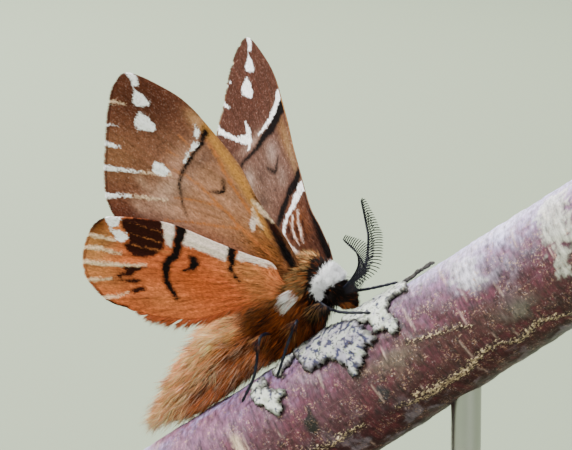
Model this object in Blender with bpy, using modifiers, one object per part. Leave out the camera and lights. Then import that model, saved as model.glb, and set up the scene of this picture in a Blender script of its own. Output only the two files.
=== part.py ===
"""Kentish glory moth, a male at life size, gripping a cut length of birch twig on a display stand.

The moth's plane of symmetry is Y = 0 and its head points along +X, so its right side faces -Y.
The origin is the centre of the underside of the stand's base, and the floor is Z = 0.
All named sizes are millimetres. Each mesh is turned into metres when its object is made.
"""

import math
import random
from dataclasses import dataclass

import bmesh
import bpy
from mathutils import Matrix, Vector

MM = 0.001
GAP = 0.3

# Stand: a flat base and two rods that peg into the twig
BASE_LENGTH = 68.0
BASE_DEPTH = 42.0
BASE_HEIGHT = 4.0
BASE_CORNER = 7.0
BASE_EDGE = 0.6
ROD_RADIUS = 1.5
ROD_SIDES = 20
ROD_PEG = 2.5
ROD_FOOT_SOCKET = 1.5
ROD_STATIONS = {"stand_rod_front": 9.0, "stand_rod_rear": -16.5}

# Perch: a straight length of twig whose axis lies in the plane Y = 0
PERCH_HIGH_END = Vector((24.3, 0.0, 46.3))
PERCH_LOW_END = Vector((-24.1, 0.0, 12.9))
PERCH_HIGH_RADIUS = 6.05
PERCH_LOW_RADIUS = 6.5
PERCH_SIDES = 24

# Outlines of the coat, as (x, z, half width, half height), from the end that the hair points to
THORAX_STATIONS = (
    (-13.2, 32.4, 1.2, 1.2),
    (-12.6, 32.9, 2.8, 2.6),
    (-11.3, 34.0, 3.5, 3.3),
    (-9.2, 35.9, 3.7, 3.3),
    (-7.5, 38.3, 3.3, 2.6),
    (-6.6, 39.9, 2.3, 1.7),
    (-6.1, 40.9, 0.9, 0.6),
)
ABDOMEN_STATIONS = (
    (-25.4, 22.0, 0.3, 0.3),
    (-24.6, 22.7, 1.2, 1.1),
    (-22.3, 24.7, 2.0, 2.1),
    (-20.5, 26.2, 2.6, 2.7),
    (-18.3, 28.6, 3.1, 3.3),
    (-16.2, 30.9, 3.4, 3.6),
    (-14.1, 32.2, 3.0, 3.2),
    (-12.9, 32.6, 1.4, 1.6),
)
HEAD_STATIONS = (
    (-2.3, 36.85, 0.2, 0.2),
    (-2.7, 37.0, 0.8, 0.7),
    (-3.6, 37.3, 1.35, 1.1),
    (-4.5, 37.6, 1.4, 1.2),
    (-5.2, 37.9, 0.8, 0.8),
)
TRUNK_RINGS = {"thorax": 13, "abdomen": 14, "head": 9}
COAT_DEPTH = {"thorax": 0.75, "abdomen": 0.75, "head": 0.4, "collar": 0.5}
# Width, length and rise of each coat's locks
LOCK_SIZES = {"thorax": (2.4, 3.2, 0.8), "abdomen": (2.5, 3.9, 0.7), "head": (1.2, 1.3, 0.35)}
COLLAR_CENTRE = Vector((-5.8, 0.0, 38.9))
COLLAR_TILT = math.radians(58.0)
COLLAR_HALF_WIDTH = 2.6
COLLAR_HALF_HEIGHT = 2.1
COLLAR_HALF_THICKNESS = 1.15
RUFF_LOCKS = 12
RUFF_LOCK_WIDTH = 1.4
RUFF_ROOT = 0.55
RUFF_REACH = 0.5
RUFF_RISE = 0.2
RUFF_WAVE = 0.35
HEAD_CENTRE = Vector((-4.0, 0.0, 37.45))
EYE_RADIUS = 0.6
EYE_OFFSET = Vector((-0.1, 1.1, -0.6))

# Legs, as points of the right side from the socket in the thorax to the claws
LEG_ROOT_RADIUS = 0.42
LEG_FOOT_RADIUS = 0.27
LEG_RINGS = 12
RIGHT_LEGS = {
    "foreleg_right": (
        (-6.6, -1.2, 36.2),
        (-5.3, -3.0, 36.9),
        (-3.9, -3.5, 36.5),
        (-2.4, -4.1, 36.45),
        (0.4, -3.95, 36.6),
    ),
    "midleg_right": (
        (-8.6, -1.4, 34.0),
        (-7.5, -3.9, 35.1),
        (-8.1, -4.5, 33.2),
        (-8.75, -4.6, 31.1),
        (-9.3, -4.6, 29.5),
    ),
    "hindleg_right": (
        (-10.6, -1.6, 33.2),
        (-11.2, -4.3, 33.3),
        (-11.45, -4.8, 30.6),
        (-11.8, -4.9, 29.0),
        (-13.0, -4.85, 26.6),
    ),
}
LEFT_LEGS = {
    "foreleg_left": (
        (-6.6, 1.2, 36.2),
        (-5.0, 2.6, 37.1),
        (-3.0, 2.3, 37.5),
        (-0.9, 1.7, 38.1),
        (1.2, 1.5, 38.75),
    ),
    "midleg_left": (
        (-8.6, 1.4, 34.0),
        (-7.3, 3.9, 35.0),
        (-7.8, 4.6, 33.2),
        (-8.4, 4.75, 31.3),
        (-8.9, 4.7, 29.75),
    ),
    "hindleg_left": (
        (-10.6, 1.6, 33.2),
        (-11.5, 4.3, 33.2),
        (-12.0, 4.9, 30.4),
        (-12.6, 4.95, 28.4),
        (-13.9, 4.9, 26.0),
    ),
}

# Comb antennae, as points of the shaft from the head to the tip
SHAFT_ROOT_RADIUS = 0.3
SHAFT_TIP_RADIUS = 0.22
SHAFT_RINGS = 16
COMB_START = 0.2
COMB_END = 0.97
RAMI_PER_SIDE = 11
RAMUS_REACH = 1.75
RAMUS_RADIUS = 0.25
RAMUS_TIP = 0.35
RAMUS_BEND = 0.25
RAMUS_SPREAD = math.radians(38.0)
# Lengths of the rami, as (share of the comb's length, share of the longest)
RAMUS_LENGTHS = ((0.0, 0.55), (0.28, 1.0), (0.6, 1.0), (1.0, 0.48))
ANTENNAE = {
    "antenna_right": (
        (-4.4, -0.45, 37.7),
        (-3.95, -0.95, 38.0),
        (-2.57, -2.0, 39.2),
        (-1.25, -3.2, 41.0),
        (-0.97, -4.5, 42.65),
        (-1.8, -5.9, 44.1),
    ),
    "antenna_left": (
        (-4.4, 0.45, 37.7),
        (-3.95, 0.95, 38.05),
        (-3.13, 1.6, 39.1),
        (-2.48, 2.2, 40.4),
        (-2.56, 3.0, 42.6),
        (-3.07, 3.7, 44.0),
        (-3.86, 4.4, 46.2),
    ),
}

# Locks of hair: shares of the width and depth at the root, half way and at the tip
LOCK_WIDTHS = (0.85, 1.0, 0.15)
LOCK_DEPTHS = (1.0, 1.0, 0.4)
LOCK_DEPTH = 0.6
LOCK_SINK = 0.45
LOCK_OVERLAP = 0.9
LOCK_SPREAD = 0.15

# Wings: thickness of the sheet and at its veins, and how the front edge bends outward near the hinge
MEMBRANE = 0.5
VEIN_CREST = 0.76
VEIN_FLANK = 0.016
CURL_REACH = 9.0
CURL_WIDTH = 3.2
SLOT_SLANT = 1.5


@dataclass(frozen=True)
class WingPlan:
    """One wing of the left side: three places on the body's side, and its outline in the wing's own plane.

    The outline points are (u, v), u running from hinge to tip and v towards the hind corner.
    """

    hinge: tuple
    tip: tuple
    hind_corner: tuple
    costa: tuple
    outer: tuple
    inner: tuple
    veins: tuple
    rows: int
    curl: float
    lift: float


FOREWING = WingPlan(
    hinge=(-7.56, 1.62, 40.73),
    tip=(-20.54, 15.38, 60.7),
    hind_corner=(-22.57, 12.17, 44.78),
    costa=(
        (-1.2, -0.7),
        (3.0, -1.7),
        (8.0, -1.45),
        (13.0, -1.9),
        (18.0, -2.2),
        (22.5, -2.0),
        (26.0, -0.9),
        (27.5, 0.4),
    ),
    outer=((27.5, 0.4), (26.7, 2.8), (24.6, 5.2), (21.4, 8.1), (18.6, 10.1), (15.3, 10.9)),
    inner=((-1.2, 1.7), (1.0, 3.5), (4.0, 5.5), (8.0, 8.0), (13.0, 10.6), (15.3, 10.9)),
    veins=(
        (0.07, 0.0, 0.9),
        (0.2, 0.5, 1.0),
        (0.33, 0.5, 1.0),
        (0.46, 0.0, 1.0),
        (0.62, 0.45, 1.0),
        (0.79, 0.3, 1.0),
        (0.93, 0.0, 1.0),
    ),
    rows=8,
    curl=1.1,
    lift=-0.35,
)
HINDWING = WingPlan(
    hinge=(-9.1, 2.2, 38.57),
    tip=(-23.76, 14.8, 46.8),
    hind_corner=(-23.1, 10.41, 36.81),
    costa=((-1.0, 0.2), (1.2, -0.6), (3.0, -1.55), (9.0, -1.5), (14.0, -1.6), (18.0, -0.8), (20.5, 0.3)),
    outer=((20.5, 0.3), (21.15, 2.3), (20.7, 4.6), (19.3, 6.8), (17.0, 8.1), (14.5, 8.45)),
    inner=((-1.0, 1.4), (2.0, 3.0), (5.5, 6.0), (8.0, 7.7), (11.0, 8.35), (14.5, 8.45)),
    veins=(
        (0.08, 0.0, 0.85),
        (0.24, 0.45, 1.0),
        (0.4, 0.45, 1.0),
        (0.54, 0.0, 1.0),
        (0.74, 0.3, 1.0),
        (0.93, 0.0, 1.0),
    ),
    rows=8,
    curl=0.0,
    lift=0.35,
)

parts = None
cutters = None


def start_scene():
    """Empties the scene and makes the collections of the parts and of the cutters."""
    global parts, cutters
    for obj in list(bpy.data.objects):
        bpy.data.objects.remove(obj, do_unlink=True)
    parts = bpy.data.collections.new("kentish_glory_moth")
    cutters = bpy.data.collections.new("cutters")
    bpy.context.scene.collection.children.link(parts)
    bpy.context.scene.collection.children.link(cutters)


def finish(name, colour, roughness, metallic=0.0):
    """A Principled material, its colour given as sRGB values from 0 to 255."""
    material = bpy.data.materials.new(name)
    material.use_nodes = True
    shader = material.node_tree.nodes["Principled BSDF"]
    linear = [((c / 255 + 0.055) / 1.055) ** 2.4 for c in colour]
    shader.inputs["Base Color"].default_value = (*linear, 1.0)
    shader.inputs["Roughness"].default_value = roughness
    shader.inputs["Metallic"].default_value = metallic
    return material


def as_object(name, bm, material=None):
    """A part from a mesh in millimetres, or a cutter where it has no material."""
    bmesh.ops.scale(bm, vec=(MM, MM, MM), verts=bm.verts)
    bmesh.ops.recalc_face_normals(bm, faces=bm.faces)
    mesh = bpy.data.meshes.new(name)
    bm.to_mesh(mesh)
    bm.free()
    obj = bpy.data.objects.new(name, mesh)
    if material:
        mesh.materials.append(material)
        parts.objects.link(obj)
    else:
        obj.hide_render = True
        obj.display_type = "WIRE"
        cutters.objects.link(obj)
    return obj


def apply_modifiers(obj):
    """Gives the object its evaluated mesh, and removes its modifiers."""
    graph = bpy.context.evaluated_depsgraph_get()
    mesh = bpy.data.meshes.new_from_object(obj.evaluated_get(graph))
    obj.modifiers.clear()
    obj.data = mesh


def keep_largest(obj):
    """Drops every closed surface of the object but the largest."""
    bm = bmesh.new()
    bm.from_mesh(obj.data)
    unseen = set(bm.faces)
    shells = []
    while unseen:
        shell, edge_of_shell = set(), [unseen.pop()]
        while edge_of_shell:
            face = edge_of_shell.pop()
            shell.add(face)
            for edge in face.edges:
                for other in edge.link_faces:
                    if other in unseen:
                        unseen.remove(other)
                        edge_of_shell.append(other)
        shells.append(shell)
    shells.sort(key=lambda shell: sum(face.calc_area() for face in shell))
    scraps = [face for shell in shells[:-1] for face in shell]
    bmesh.ops.delete(bm, geom=scraps, context="FACES")
    bm.to_mesh(obj.data)
    bm.free()


def combine(obj, pieces, operation):
    """Joins the pieces to the object, or cuts them from it, with one Boolean on their collection."""
    group = bpy.data.collections.new(obj.name + "_pieces")
    cutters.children.link(group)
    for piece in pieces:
        cutters.objects.unlink(piece)
        group.objects.link(piece)
    boolean = obj.modifiers.new(operation.title(), "BOOLEAN")
    boolean.operation = operation
    boolean.operand_type = "COLLECTION"
    boolean.collection = group
    boolean.solver = "EXACT"
    apply_modifiers(obj)
    for piece in pieces:
        bpy.data.objects.remove(piece, do_unlink=True)
    bpy.data.collections.remove(group)
    keep_largest(obj)


def smooth_shading(obj, degrees=40.0):
    """Shades the object smooth, with sharp edges past the given angle."""
    obj.data.shade_smooth()
    obj.data.set_sharp_from_angle(angle=math.radians(degrees))


def along(points, share):
    """The point at a share of the way along a smooth curve through the points."""
    points = [Vector(point) for point in points]
    steps = [(b - a).length for a, b in zip(points, points[1:])]
    left = share * sum(steps)
    index = 0
    while index < len(steps) - 1 and left > steps[index]:
        left -= steps[index]
        index += 1
    t = min(left / steps[index], 1.0)
    b, c = points[index], points[index + 1]
    a = points[index - 1] if index else b * 2 - c
    d = points[index + 2] if index + 2 < len(points) else c * 2 - b
    return 0.5 * (
        2 * b + (c - a) * t + (2 * a - 5 * b + 4 * c - d) * t**2 + (3 * b - a - 3 * c + d) * t**3
    )


def tube(points, radii, count, grow=0.0, sides=2):
    """A round tube along a smooth curve through the points, as a mesh with its caps welded."""
    curve = bpy.data.curves.new("tube", "CURVE")
    curve.dimensions = "3D"
    curve.bevel_depth = 1.0
    curve.bevel_resolution = sides
    curve.use_fill_caps = True
    spline = curve.splines.new("POLY")
    spline.points.add(count - 1)
    start = (along(points, 0.0) - along(points, 0.02)).normalized() * grow
    end = (along(points, 1.0) - along(points, 0.98)).normalized() * grow
    for index, point in enumerate(spline.points):
        share = index / (count - 1)
        place = along(points, share)
        place += start if index == 0 else end if index == count - 1 else Vector((0, 0, 0))
        point.co = (*place, 1.0)
        point.radius = radii[0] + (radii[1] - radii[0]) * share + grow
    holder = bpy.data.objects.new("tube", curve)
    cutters.objects.link(holder)
    graph = bpy.context.evaluated_depsgraph_get()
    mesh = bpy.data.meshes.new_from_object(holder.evaluated_get(graph))
    bm = bmesh.new()
    bm.from_mesh(mesh)
    bmesh.ops.remove_doubles(bm, verts=bm.verts, dist=0.001)
    bpy.data.objects.remove(holder, do_unlink=True)
    bpy.data.curves.remove(curve)
    return bm


def station_at(stations, share):
    """Centre, half width and half height of a trunk at a share of its length."""
    x, _, z = along([(s[0], 0.0, s[1]) for s in stations], share)
    spots = [0.0]
    for a, b in zip(stations, stations[1:]):
        spots.append(spots[-1] + math.dist(a[:2], b[:2]))
    left = share * spots[-1]
    index = max(i for i in range(len(stations) - 1) if spots[i] <= left)
    t = (left - spots[index]) / (spots[index + 1] - spots[index])
    width = stations[index][2] * (1 - t) + stations[index + 1][2] * t
    height = stations[index][3] * (1 - t) + stations[index + 1][3] * t
    return Vector((x, 0.0, z)), width, height


def trunk_point(stations, share, angle, grow=0.0):
    """A point on a trunk: angle 0 is its left side and a quarter turn is its back."""
    centre, width, height = station_at(stations, share)
    ahead = station_at(stations, min(share + 0.02, 1.0))[0] - station_at(stations, max(share - 0.02, 0.0))[0]
    across = Vector((0.0, 1.0, 0.0))
    upright = ahead.cross(across).normalized()
    upright *= 1.0 if upright.z > 0 else -1.0
    return centre + across * (width + grow) * math.cos(angle) + upright * (height + grow) * math.sin(angle)


@dataclass(frozen=True)
class Lock:
    """A flat, tapered lock of hair: where it is rooted, its lie and how it rises off the surface."""

    root: Vector
    lie: Vector
    normal: Vector
    length: float
    width: float
    rise: float

    def mesh(self, grow=0.0):
        """The lock as a closed mesh: a four-sided bar, cut across once, flattened, tapered and bent."""
        bm = bmesh.new()
        bmesh.ops.create_cone(bm, cap_ends=True, segments=4, radius1=1.0, radius2=1.0, depth=1.0)
        long_edges = [edge for edge in bm.edges if abs(edge.verts[0].co.z - edge.verts[1].co.z) > 0.5]
        bmesh.ops.subdivide_edges(bm, edges=long_edges, cuts=1, use_grid_fill=True)
        across = self.lie.cross(self.normal).normalized()
        for vert in bm.verts:
            share = vert.co.z + 0.5
            level = round(share * 2)
            half_width = self.width / 2 * LOCK_WIDTHS[level] + grow
            half_depth = LOCK_DEPTH / 2 * LOCK_DEPTHS[level] + grow
            reach = self.length * share + grow * (2 * share - 1)
            height = self.rise * (2 * share - share * share) - LOCK_SINK * (1 - share)
            vert.co = (
                self.root
                + self.lie * reach
                + self.normal * (height + vert.co.y * half_depth)
                + across * vert.co.x * half_width
            )
        return bm


def trunk_locks(name, stations, rows, first, last, seed):
    """Rings of locks on a trunk, each half a step round from the last, lying towards its first station."""
    draw = random.Random(seed)
    width, length, rise = LOCK_SIZES[name]
    depth = COAT_DEPTH[name]
    locks = []
    for row in range(rows):
        share = first + (last - first) * row / (rows - 1)
        centre, half_width, half_height = station_at(stations, share)
        count = max(6, round(math.pi * (half_width + half_height) / (width * LOCK_OVERLAP)))
        for index in range(count):
            angle = 2 * math.pi * (index + 0.5 * (row % 2) + draw.uniform(-LOCK_SPREAD, LOCK_SPREAD)) / count
            root = trunk_point(stations, share, angle, -depth)
            behind = trunk_point(stations, share - 0.04, angle, -depth)
            beside = trunk_point(stations, share, angle + 0.1, -depth)
            lie = (behind - root).normalized()
            normal = lie.cross(beside - root).normalized()
            normal *= 1.0 if normal.dot(root - centre) > 0 else -1.0
            size = draw.uniform(1 - LOCK_SPREAD, 1 + LOCK_SPREAD)
            locks.append(Lock(root, lie, normal, length * size, width, rise * size))
    return locks


def ruff_locks():
    """A ring of flat locks standing out round the collar."""
    turn = Matrix.Rotation(math.pi / 2 - COLLAR_TILT, 3, "Y")
    forward = turn @ Vector((1.0, 0.0, 0.0))
    locks = []
    for index in range(RUFF_LOCKS):
        angle = 2 * math.pi * index / RUFF_LOCKS
        reach = Vector((0.0, COLLAR_HALF_WIDTH * math.cos(angle), COLLAR_HALF_HEIGHT * math.sin(angle)))
        out = turn @ reach
        place = COLLAR_CENTRE + out * RUFF_ROOT + forward * RUFF_WAVE * (-1) ** index
        length = out.length * RUFF_REACH
        locks.append(Lock(place, out.normalized(), forward, length, RUFF_LOCK_WIDTH, RUFF_RISE))
    return locks


def trunk(stations, grow=0.0, rings=10, sides=16):
    """A rounded body through the stations, shaped from a sphere."""
    bm = bmesh.new()
    bmesh.ops.create_uvsphere(bm, u_segments=sides, v_segments=rings, radius=1.0)
    for vert in bm.verts:
        share = math.acos(max(-1.0, min(1.0, vert.co.z))) / math.pi
        if share < 0.01 or share > 0.99:
            nearer = station_at(stations, round(share))[0]
            further = station_at(stations, abs(round(share) - 0.03))[0]
            vert.co = nearer + (nearer - further).normalized() * (grow + 0.1)
        else:
            vert.co = trunk_point(stations, share, math.atan2(vert.co.y, vert.co.x), grow)
    return bm


def ellipsoid(centre, half_sizes, tilt, grow=0.0, sides=14, rings=8):
    """An ellipsoid whose long axis is tipped down from +X by the tilt."""
    bm = bmesh.new()
    bmesh.ops.create_uvsphere(bm, u_segments=sides, v_segments=rings, radius=1.0)
    bmesh.ops.scale(bm, vec=[half + grow for half in half_sizes], verts=bm.verts)
    turn = Matrix.Rotation(tilt, 4, "Y")
    bmesh.ops.transform(bm, matrix=Matrix.Translation(centre) @ turn, verts=bm.verts)
    return bm


def wing_frame(plan):
    """The matrix from a left wing's own plane to the body: its axes are u, v and the outward face."""
    hinge, tip, corner = Vector(plan.hinge), Vector(plan.tip), Vector(plan.hind_corner)
    u = (tip - hinge).normalized()
    v = (corner - hinge) - u * (corner - hinge).dot(u)
    v.normalize()
    outward = v.cross(u)
    turn = Matrix((u, v, outward)).transposed().to_4x4()
    return Matrix.Translation(hinge) @ turn


def wing_place(plan, across, out):
    """(u, v, w) of the spot at a share across the wing, from costa to inner margin, and out to its margin."""
    costa, inner = along([(*p, 0) for p in plan.costa], out), along([(*p, 0) for p in plan.inner], out)
    outer = along([(*p, 0) for p in plan.outer], across)
    root_front, root_back = Vector((*plan.costa[0], 0)), Vector((*plan.inner[0], 0))
    root = root_front.lerp(root_back, across)
    tip, corner = Vector((*plan.outer[0], 0)), Vector((*plan.outer[-1], 0))
    sides = costa * (1 - across) + inner * across
    ends = root * (1 - out) + outer * out
    corners = root.lerp(tip, out) * (1 - across) + root_back.lerp(corner, out) * across
    corners += (root_front.lerp(tip, out) - root.lerp(tip, out)) * (1 - across)
    u, v, _ = sides + ends - corners
    near_costa = max(0.0, 1.0 - (v - plan.costa[1][1]) / CURL_WIDTH)
    w = plan.lift + plan.curl * max(0.0, 1.0 - u / CURL_REACH) ** 2 * near_costa
    return Vector((u, v, w))


def wing(name, plan, side, material, grow=0.0):
    """A wing: a sheet laid over its outline, thickened, with its veins raised on both faces."""
    columns = {0.0, 1.0}
    for spot, _, _ in plan.veins:
        columns |= {spot - VEIN_FLANK, spot, spot + VEIN_FLANK}
    columns = sorted(columns)
    bm = bmesh.new()
    bmesh.ops.create_grid(bm, x_segments=len(columns) - 1, y_segments=plan.rows, size=1.0)
    weights = bm.verts.layers.deform.verify()
    crests = {spot: (start, end) for spot, start, end in plan.veins}
    for vert in bm.verts:
        across = columns[round((vert.co.x + 1) / 2 * (len(columns) - 1))]
        out = round((vert.co.y + 1) / 2 * plan.rows) / plan.rows
        start, end = crests.get(across, (2.0, 0.0))
        if start <= out <= end:
            vert[weights][0] = 1.0
        vert.co = wing_place(plan, across, out)
        vert.co.x += grow * (2 * out - 1)
        vert.co.y += SLOT_SLANT * grow * (2 * across - 1)
    bmesh.ops.triangulate(bm, faces=bm.faces)
    bmesh.ops.transform(bm, matrix=wing_frame(plan), verts=bm.verts)
    bmesh.ops.scale(bm, vec=(1.0, side, 1.0), verts=bm.verts)
    obj = as_object(name, bm, material)
    obj.vertex_groups.new(name="vein")
    solid = obj.modifiers.new("Thickness", "SOLIDIFY")
    solid.thickness = (VEIN_CREST + 2 * grow) * MM
    solid.offset = 0.0
    solid.vertex_group = "vein"
    solid.thickness_vertex_group = (MEMBRANE + 2 * grow) / (VEIN_CREST + 2 * grow)
    apply_modifiers(obj)
    return obj


def perch_direction():
    """The direction of the twig's axis, from its low end to its high end."""
    return (PERCH_HIGH_END - PERCH_LOW_END).normalized()


def perch(grow=0.0):
    """The twig: a cone with slightly different ends, laid along its axis."""
    length = (PERCH_HIGH_END - PERCH_LOW_END).length + 2 * grow
    bm = bmesh.new()
    bmesh.ops.create_cone(
        bm,
        cap_ends=True,
        segments=PERCH_SIDES,
        radius1=PERCH_LOW_RADIUS + grow,
        radius2=PERCH_HIGH_RADIUS + grow,
        depth=length,
    )
    turn = perch_direction().to_track_quat("Z", "Y").to_matrix().to_4x4()
    centre = (PERCH_HIGH_END + PERCH_LOW_END) / 2
    bmesh.ops.transform(bm, matrix=Matrix.Translation(centre) @ turn, verts=bm.verts)
    return bm


def rod(station, grow=0.0):
    """An upright rod from its socket in the base to its socket in the twig."""
    direction = perch_direction()
    axis_height = PERCH_LOW_END.z + (station - PERCH_LOW_END.x) * direction.z / direction.x
    top = axis_height - PERCH_LOW_RADIUS / direction.x + ROD_PEG + grow
    bottom = BASE_HEIGHT - ROD_FOOT_SOCKET - grow
    radius = ROD_RADIUS + grow
    bm = bmesh.new()
    bmesh.ops.create_cone(
        bm,
        cap_ends=True,
        segments=ROD_SIDES,
        radius1=radius,
        radius2=radius,
        depth=top - bottom,
    )
    bmesh.ops.translate(bm, vec=(station, 0.0, (top + bottom) / 2), verts=bm.verts)
    return bm


def build_stand(material_base, material_rod):
    """The base with its rounded corners, and the two rods in their sockets."""
    bm = bmesh.new()
    bmesh.ops.create_cube(bm, size=1.0)
    bmesh.ops.scale(bm, vec=(BASE_LENGTH, BASE_DEPTH, BASE_HEIGHT), verts=bm.verts)
    bmesh.ops.translate(bm, vec=(0.0, 0.0, BASE_HEIGHT / 2), verts=bm.verts)
    uprights = [edge for edge in bm.edges if abs(edge.verts[0].co.z - edge.verts[1].co.z) > 1.0]
    bevel = {"profile": 0.5, "affect": "EDGES", "material": -1}
    bmesh.ops.bevel(bm, geom=uprights, offset=BASE_CORNER, segments=6, **bevel)
    rim = [edge for edge in bm.edges if all(vert.co.z > BASE_HEIGHT - 0.01 for vert in edge.verts)]
    bmesh.ops.bevel(bm, geom=rim, offset=BASE_EDGE, segments=2, **bevel)
    base = as_object("stand_base", bm, material_base)
    sockets = [as_object("socket", rod(station, GAP)) for station in ROD_STATIONS.values()]
    combine(base, sockets, "DIFFERENCE")
    smooth_shading(base)
    for name, station in ROD_STATIONS.items():
        smooth_shading(as_object(name, rod(station), material_rod))


def build_perch(material):
    """The twig, with the sockets that the rods peg into."""
    obj = as_object("perch_branch", perch(), material)
    sockets = [as_object("socket", rod(station, GAP)) for station in ROD_STATIONS.values()]
    combine(obj, sockets, "DIFFERENCE")
    smooth_shading(obj)


def collar(grow=0.0):
    """The collar's rounded ring, tipped so that it faces the head."""
    half_sizes = (COLLAR_HALF_THICKNESS, COLLAR_HALF_WIDTH, COLLAR_HALF_HEIGHT)
    return ellipsoid(COLLAR_CENTRE, half_sizes, math.pi / 2 - COLLAR_TILT, grow)


def eye(side, grow=0.0):
    """One round eye."""
    centre = HEAD_CENTRE + Vector((EYE_OFFSET.x, EYE_OFFSET.y * side, EYE_OFFSET.z))
    return ellipsoid(centre, (EYE_RADIUS,) * 3, 0.0, grow, sides=12, rings=7)


def leg(points, grow=0.0):
    """A leg, tapering from its socket to its claws."""
    return tube(points, (LEG_ROOT_RADIUS, LEG_FOOT_RADIUS), LEG_RINGS, grow)


def shaft(points, grow=0.0):
    """The shaft of an antenna."""
    return tube(points, (SHAFT_ROOT_RADIUS, SHAFT_TIP_RADIUS), SHAFT_RINGS, grow)


def comb_directions(points, share):
    """At a share along a shaft: its place, its direction, the comb's front and its side."""
    place = along(points, share)
    ahead = (along(points, min(share + 0.02, 1.0)) - along(points, max(share - 0.02, 0.0))).normalized()
    front = Vector((1.0, 0.0, 0.0))
    front = (front - ahead * front.dot(ahead)).normalized()
    return place, ahead, front, ahead.cross(front)


def ramus(points, share, lean, grow=0.0):
    """One branch of a comb: a tapered four-sided spine, bent a little towards the antenna's tip."""
    place, ahead, front, side = comb_directions(points, share)
    out = front * math.cos(lean) + side * math.sin(lean)
    start = (share - COMB_START) / (COMB_END - COMB_START)
    reach = RAMUS_REACH * along([(*spot, 0.0) for spot in RAMUS_LENGTHS], start).y
    bm = bmesh.new()
    bmesh.ops.create_cone(bm, cap_ends=True, segments=4, radius1=1.0, radius2=RAMUS_TIP, depth=1.0)
    long_edges = [edge for edge in bm.edges if abs(edge.verts[0].co.z - edge.verts[1].co.z) > 0.5]
    bmesh.ops.subdivide_edges(bm, edges=long_edges, cuts=1, use_grid_fill=True)
    across = ahead.cross(out)
    for vert in bm.verts:
        level = vert.co.z + 0.5
        bend = ahead * RAMUS_BEND * reach * level * level
        ring = (ahead * vert.co.x + across * vert.co.y) * (RAMUS_RADIUS + grow)
        vert.co = place + out * (reach + grow) * level + bend + ring
    return bm


def rami(points, grow=0.0):
    """Both rows of a comb, as closed meshes."""
    meshes = []
    for index in range(RAMI_PER_SIDE):
        share = COMB_START + (COMB_END - COMB_START) * index / (RAMI_PER_SIDE - 1)
        meshes += [ramus(points, share, lean, grow) for lean in (RAMUS_SPREAD, -RAMUS_SPREAD)]
    return meshes


def solids(meshes):
    """Cutters or loose pieces from a list of meshes."""
    return [as_object("piece", mesh) for mesh in meshes]


def core(name, grow=0.0):
    """The smooth core of a haired node, half way in from its coat's outline."""
    grow -= COAT_DEPTH[name]
    if name == "collar":
        return collar(grow)
    stations = {"thorax": THORAX_STATIONS, "abdomen": ABDOMEN_STATIONS, "head": HEAD_STATIONS}[name]
    return trunk(stations, grow, TRUNK_RINGS[name])


def haired(name, hair, grow):
    """The core and the locks of a haired node, as loose closed meshes."""
    return solids([core(name, grow)] + [lock.mesh(grow) for lock in hair[name]])


def cleared(name, hair):
    """Cutters a gap larger than the named neighbour."""
    if name == "legs":
        return solids([leg(points, GAP) for points in (RIGHT_LEGS | LEFT_LEGS).values()])
    if name == "wings":
        return [wing("slot", plan, side, None, GAP) for plan in (FOREWING, HINDWING) for side in (1.0, -1.0)]
    if name == "antennae":
        return solids([shaft(points, GAP) for points in ANTENNAE.values()])
    if name == "eyes":
        return solids([eye(1.0, GAP), eye(-1.0, GAP)])
    if name == "perch":
        return solids([perch(GAP)])
    return haired(name, hair, GAP)


def build_trunk(finishes):
    """Head, collar, thorax and abdomen, each a core with its locks, cut clear of what it carries or meets."""
    hair = {
        "head": trunk_locks("head", HEAD_STATIONS, 2, 0.45, 0.75, seed=2),
        "collar": ruff_locks(),
        "thorax": trunk_locks("thorax", THORAX_STATIONS, 5, 0.25, 0.9, seed=4),
        "abdomen": trunk_locks("abdomen", ABDOMEN_STATIONS, 6, 0.15, 0.86, seed=6),
    }
    neighbours = {
        "head": ("eyes", "antennae", "legs", "perch"),
        "collar": ("head", "antennae", "legs", "wings"),
        "thorax": ("head", "collar", "legs", "wings", "perch"),
        "abdomen": ("thorax", "legs", "wings", "perch"),
    }
    for name, others in neighbours.items():
        obj = as_object(name, core(name), finishes[name])
        combine(obj, solids([lock.mesh() for lock in hair[name]]), "UNION")
        combine(obj, [cutter for other in others for cutter in cleared(other, hair)], "DIFFERENCE")
        smooth_shading(obj)


def build_limbs(leg_finish, eye_finish, comb_finish, wing_finishes):
    """Eyes, antennae, legs and wings, each whole to its root."""
    for name, points in ANTENNAE.items():
        obj = as_object(name, shaft(points), comb_finish)
        combine(obj, solids(rami(points)), "UNION")
        smooth_shading(obj)
    for name, points in (RIGHT_LEGS | LEFT_LEGS).items():
        smooth_shading(as_object(name, leg(points), leg_finish))
    for side_name, side in (("left", 1.0), ("right", -1.0)):
        smooth_shading(as_object("eye_" + side_name, eye(side), eye_finish))
        smooth_shading(wing("forewing_" + side_name, FOREWING, side, wing_finishes[0]))
        smooth_shading(wing("hindwing_" + side_name, HINDWING, side, wing_finishes[1]))


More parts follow.
